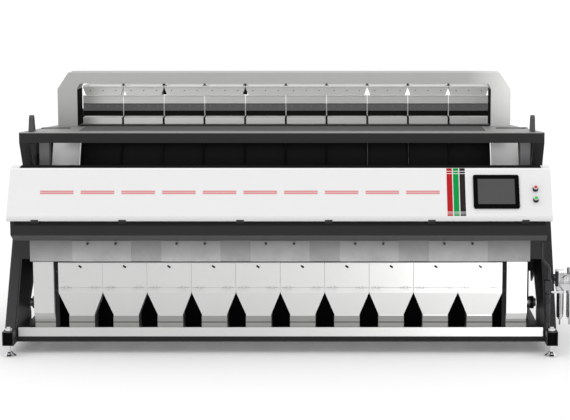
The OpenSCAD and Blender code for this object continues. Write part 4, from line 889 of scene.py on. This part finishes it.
# painted shade: dark plates at the ends of the space behind the band
shade_plates = [plate("end_shade_plate", across, (100, 103), (700, 835.8), 0.5) for across in both_sides(1798, 1911)]
dress(join(shade_plates, "end_shade_plates"), frame_coat, "machine")

# %% [markdown]
# ## Bolts on the frame
# Black chromed hexagon bolts hold the dark uprights beside the outermost hoppers, and more of them fix the
# gussets to the legs, where they show from the side. A hexagon is a turned piece with six sides.

# %% Hexagon bolts
BOLT_STEPS = [(6, 0), (6, 1), (4.5, 1), (4.5, 4), (4, 4.5)]
UPRIGHT_X, UPRIGHT_FRONT = 1616, 143
GUSSET_X = 1913
GUSSET_BOLTS = ((330, 420), (430, 560), (520, 420))
bolt_places = [facing(at(side * UPRIGHT_X, UPRIGHT_FRONT, z), FORWARD) for side in SIDES for z in (464, 602)]
bolt_places += [facing(at(side * GUSSET_X, y, z), (-side, 0, 0)) for side in SIDES for y, z in GUSSET_BOLTS]
bolts = copies(turned("bolt", BOLT_STEPS, sides=6), bolt_places)
dress(join(bolts, "frame_bolts"), dark_plated, "machine")

# %% [markdown]
# ## Air supply trim
# In front of the right leg stands a silencer on the foot rail, under a small valve block, with a black
# nickelled pipe that rises into the box above and a plated elbow to the filter unit. A pipe is a circle that
# is extruded along its straights and spun round its bends.

# %% Pipe helper
PIPE_SIDES = 20
BEND_STEPS = 8


def pipe(name, radius, place, moves):
    """A pipe from a place: moves are ("go", distances in mm) or ("bend", centre from here, axis, degrees)."""
    bpy.ops.object.select_all(action="DESELECT")
    way = Vector(moves[0][1]).normalized()
    bpy.ops.mesh.primitive_circle_add(vertices=PIPE_SIDES, radius=radius * MM)
    piece = start(name)
    here = at(*place)
    piece.data.transform(facing(here, way) if way.z < 0.99 else Matrix.Translation(here))
    bpy.ops.object.mode_set(mode="EDIT")
    bpy.ops.mesh.select_mode(type="VERT")
    bpy.ops.mesh.select_all(action="SELECT")
    for kind, *values in moves:
        if kind == "go":
            step = Vector(values[0]) * MM
            bpy.ops.mesh.extrude_region_move(TRANSFORM_OT_translate={"value": step})
            here = here + step
        else:
            to_centre, axis, degrees = values
            angle = math.radians(degrees)
            centre = here + Vector(to_centre) * MM
            bpy.ops.mesh.spin(steps=BEND_STEPS, angle=-angle, center=centre, axis=axis)
            here = centre + Matrix.Rotation(angle, 4, Vector(axis)) @ (here - centre)
    bpy.ops.mesh.select_all(action="SELECT")
    bpy.ops.mesh.fill_holes(sides=0)
    close_up(PIPE_SMOOTH)
    print(name, "ends at", [round(c / MM) for c in here - at(0, 0, 0)])
    return piece


# %% Silencer, valve block and pipes
SILENCER_FOOT = (1930, 92, 183.1)
SILENCER_STEPS = [(12, 0), (12, 6), (17, 10), (17, 110), (15, 113), (15, 118), (17, 121), (17, 225),
                  (15, 228), (15, 236), (18, 240), (18, 262), (12, 266), (12, 286)]
BLOCK_TOP = 545
RISER_MOVES = [("go", (0, 0, 70)), ("bend", (-60, 0, 0), (0, 1, 0), -45), ("go", (-14, 0, 14)),
               ("bend", (42.4, 0, 42.4), (0, 1, 0), 45), ("go", (0, 0, 104))]
ELBOW_MOVES = [("go", (0, -150, 0)), ("bend", (-40, 0, 0), (0, 0, 1), -90), ("go", (-52, 0, 0))]

# a dark mirror with thin white lines of light down the pipes
black_nickel = finish("brass_black_nickel", "#3c3c3e", "#464648", (3, 3, 3), (0.07, 0.12), 0.03, Metallic=1.0)
silencer = turned("silencer", SILENCER_STEPS)
silencer.data.transform(facing(at(*SILENCER_FOOT), UP))
block = plate("valve_block", (1906, 1956), (66, 136), (469, BLOCK_TOP), 3)
riser = pipe("riser", 11, (1936, 104, BLOCK_TOP), RISER_MOVES)
dress(join([silencer, block, riser], "air_silencer"), black_nickel, "machine")
dress(pipe("air_elbow", 8, (2048, 318.8, 452), ELBOW_MOVES), plated, "machine")

# %% [markdown]
# ## Filter bowls and gauge
# The filter bowls have dark sight slots all round, dark seams part the bodies of the unit, and the gauge has
# a white dial with a dark hand. A slot is one thin bar, turned round each bowl's axis.

# %% Sight slots, seams and dial
BOWL_X, BOWL_BACK, BOWL_TOP = (2048, 2120), 350, 430
SLOT_ANGLES = [math.radians(angle) for angle in range(0, 360, 30)]
SEAM_BACK = (289.8, 290.9)
SEAM_WIDTH = 1.5
GAUGE_X = 2084
slot_bar = plate("sight_slot", span(0, 1.2), (-26.4, -25.2), (-180, -28), 0.4)
slot_places = [Matrix.Translation(at(x, BOWL_BACK, BOWL_TOP)) @ Matrix.Rotation(angle, 4, "Z") @ HOME
               for x in BOWL_X for angle in SLOT_ANGLES]
dress(join(copies(slot_bar, slot_places), "bowl_slots"), moulded, "machine")

seams = [plate("filter_seam", (x, x + SEAM_WIDTH), SEAM_BACK, (472, 572), 0.3)
         for x in (2046, 2062, 2106, 2122)]
seams += [plate("filter_seam", (2020, 2148), SEAM_BACK, (z, z + SEAM_WIDTH), 0.3) for z in (486, 556)]
dress(join(seams, "filter_seams"), moulded, "machine")

# flat warm white behind the hand
dial_white = finish("paper_dial_white", "#e6e6e2", "#eeeeea", (4, 4, 4), (0.5, 0.6), 0.02)
dial = turned("gauge_dial", [(17, 0), (17, 0.6), (16, 0.9)], sides=32)
dial.data.transform(facing(at(GAUGE_X, 291, 520), FORWARD))
dress(dial, dial_white, "machine")
hand = plate("gauge_hand", span(GAUGE_X, 1), (289.6, 290), (516, 533), 0.3)
dress(hand, moulded, "machine")

# %% [markdown]
# ## Straps of the air tube
# The air tube at the back of the outlets is held near each end by a dark rubber strap and a plated clip
# beside it. Both are the same turned ring, just wider than the tube.

# %% Straps and clips
STRAP_STEPS = [(45.2, 0), (47.5, 0), (47.5, 24), (45.2, 24), (45.2, 0)]
TUBE_BACK, TUBE_UP = 700, 270


def tube_rings(name, places_x):
    ring = turned(name, STRAP_STEPS, sides=40)
    return join(copies(ring, [facing(at(x, TUBE_BACK, TUBE_UP), (1, 0, 0)) for x in places_x]), name)


dress(tube_rings("tank_straps", (-1886, 1862)), rubber_band, "machine")
dress(tube_rings("tank_clips", (-1845, 1821)), plated, "machine")

# %% [markdown]
# ## Cabinet fittings
# The electrical cabinet at the back has a row of vent slots near the foot of its door, with a hooded edge
# above each, and a round lock beside the handle. A slot is a dark strip; its hood is a plate whose lower
# edge is pulled out in edit mode, as a punch does it.

# %% Vents and lock
DOOR_FACE = 1721.1
VENT_PULL = 6
VENT_UPS = [690 + 24 * k for k in range(6)]
LOCK_STEPS = [(13, 0), (13, 3), (11, 5), (5, 5), (5, 3)]
vent_places = [Matrix.Translation((0, 0, up * MM)) for up in VENT_UPS]
vent = plate("door_vent", span(0, 150), (DOOR_FACE, 1723), (0, 14), 0.5)
bpy.ops.object.mode_set(mode="EDIT")
select_faces(vent, lambda polygon: polygon.normal.z < -LEVEL)
bpy.ops.transform.translate(value=(0, VENT_PULL * MM, 0))
bpy.ops.object.mode_set(mode="OBJECT")
dress(join(copies(vent, vent_places), "door_vents"), cabinet_coat, "cabinet_door")
slot = plate("vent_slot", span(0, 148), (DOOR_FACE, 1721.8), (-5, -1), 0.2)
dress(join(copies(slot, vent_places), "vent_slots"), moulded, "cabinet_door")
lock = turned("door_lock", LOCK_STEPS)
lock.data.transform(facing(at(412, DOOR_FACE, 890), (0, 1, 0)))
dress(lock, plated, "cabinet_door")

# %% [markdown]
# ## Floor and sky
# The machine stands on a pale seamless floor in a plain bright room, so the light comes from everywhere and
# the shadows are soft. The sky is a white world that grows stronger from the horizon to the zenith, which
# lights upward faces a little more than upright ones.

# %% Floor and sky
FLOOR_SIZE = 1200
HORIZON, ZENITH = 0.74, 1.2
bpy.ops.object.select_all(action="DESELECT")
bpy.ops.mesh.primitive_plane_add(size=FLOOR_SIZE)
floor = start("studio_floor")
# flat white without a highlight, glowing a little so that it stays white far away
floor_paint, shader = new_material("studio_floor_white", Roughness=0.9, Emission_Strength=0.11,
                                   Specular_IOR_Level=0.0)
shader.inputs["Base Color"].default_value = linear("#f5f5f5")
shader.inputs["Emission Color"].default_value = linear("#ffffff")
floor.data.materials.append(floor_paint)

world = bpy.data.worlds.new("Studio")
bpy.context.scene.world = world
world.use_nodes = True
sky_way = add(world, "ShaderNodeTexCoord")
sky_parts = add(world, "ShaderNodeSeparateXYZ", None, {0: (sky_way, "Generated")})
sky_strength = add(world, "ShaderNodeMapRange", {"From Min": 0.0, "From Max": 1.0, "To Min": HORIZON,
                                                 "To Max": ZENITH}, {"Value": (sky_parts, "Z")})
background = world.node_tree.nodes["Background"]
background.inputs["Color"].default_value = linear("#ffffff")
world.node_tree.links.new(sky_strength.outputs[0], background.inputs["Strength"])
print("sky from", HORIZON, "to", ZENITH)

# %% [markdown]
# ## Screened lamps
# A photographer screens small lamps so that each lights only some pieces. Light linking does the same: a
# lamp gets a collection of the pieces that receive it. One stands low at the right, so the hopper bank grows
# brighter from left to right; the others lift the side panels, the trays and the feeder fascias.


# %% Lamps
def panel_lamp(name, power, size, place, target, lit):
    """A soft lamp for some pieces alone, as a screened panel is; power in watts, the rest in metres."""
    light = bpy.data.lights.new(name, "AREA")
    light.size, light.energy = size, power
    lamp = bpy.data.objects.new(name, light)
    bpy.context.scene.collection.objects.link(lamp)
    lamp.location = place
    lamp.rotation_euler = (Vector(target) - Vector(place)).to_track_quat("-Z", "Y").to_euler()
    lamp.visible_camera = False
    receivers = bpy.data.collections.new(name)
    for piece in lit:
        receivers.objects.link(piece)
    lamp.light_linking.receiver_collection = receivers
    print(name, power, "W on", len(lit), "pieces")


made = bpy.data.objects
bank = [nodes[name] for name in nodes if name.startswith("door_")]
bank += [nodes["discharge_hoppers"], nodes["front_skirt"], nodes["end_ducts"]]
sides = [nodes["chute_side_panels"], made["post_lit_plates"]]
fascias = [nodes["feed_hoppers"], made["gap_plates_light"], made["hopper_beads"]]
BANK_PLACE, BANK_AIM = (2.0, -2.8, 0.45), (1.8, -0.6, 0.4)
SIDE_PLACE, SIDE_AIM = (0.5, -8.0, 2.2), (0, 0.4, 1.4)
FEEDER_PLACE, FEEDER_AIM = (-2.6, -5.0, 2.4), (-0.8, 0.7, 1.65)
panel_lamp("bank_lamp", 36, 1.0, BANK_PLACE, BANK_AIM, bank)
panel_lamp("side_lamp", 260, 1.5, SIDE_PLACE, SIDE_AIM, sides)
panel_lamp("tray_lamp", 75, 1.5, FEEDER_PLACE, FEEDER_AIM, [nodes["feeder_trays"]])
panel_lamp("feeder_lamp", 16, 1.5, FEEDER_PLACE, FEEDER_AIM, fascias)
bpy.context.scene.view_settings.view_transform = "Standard"
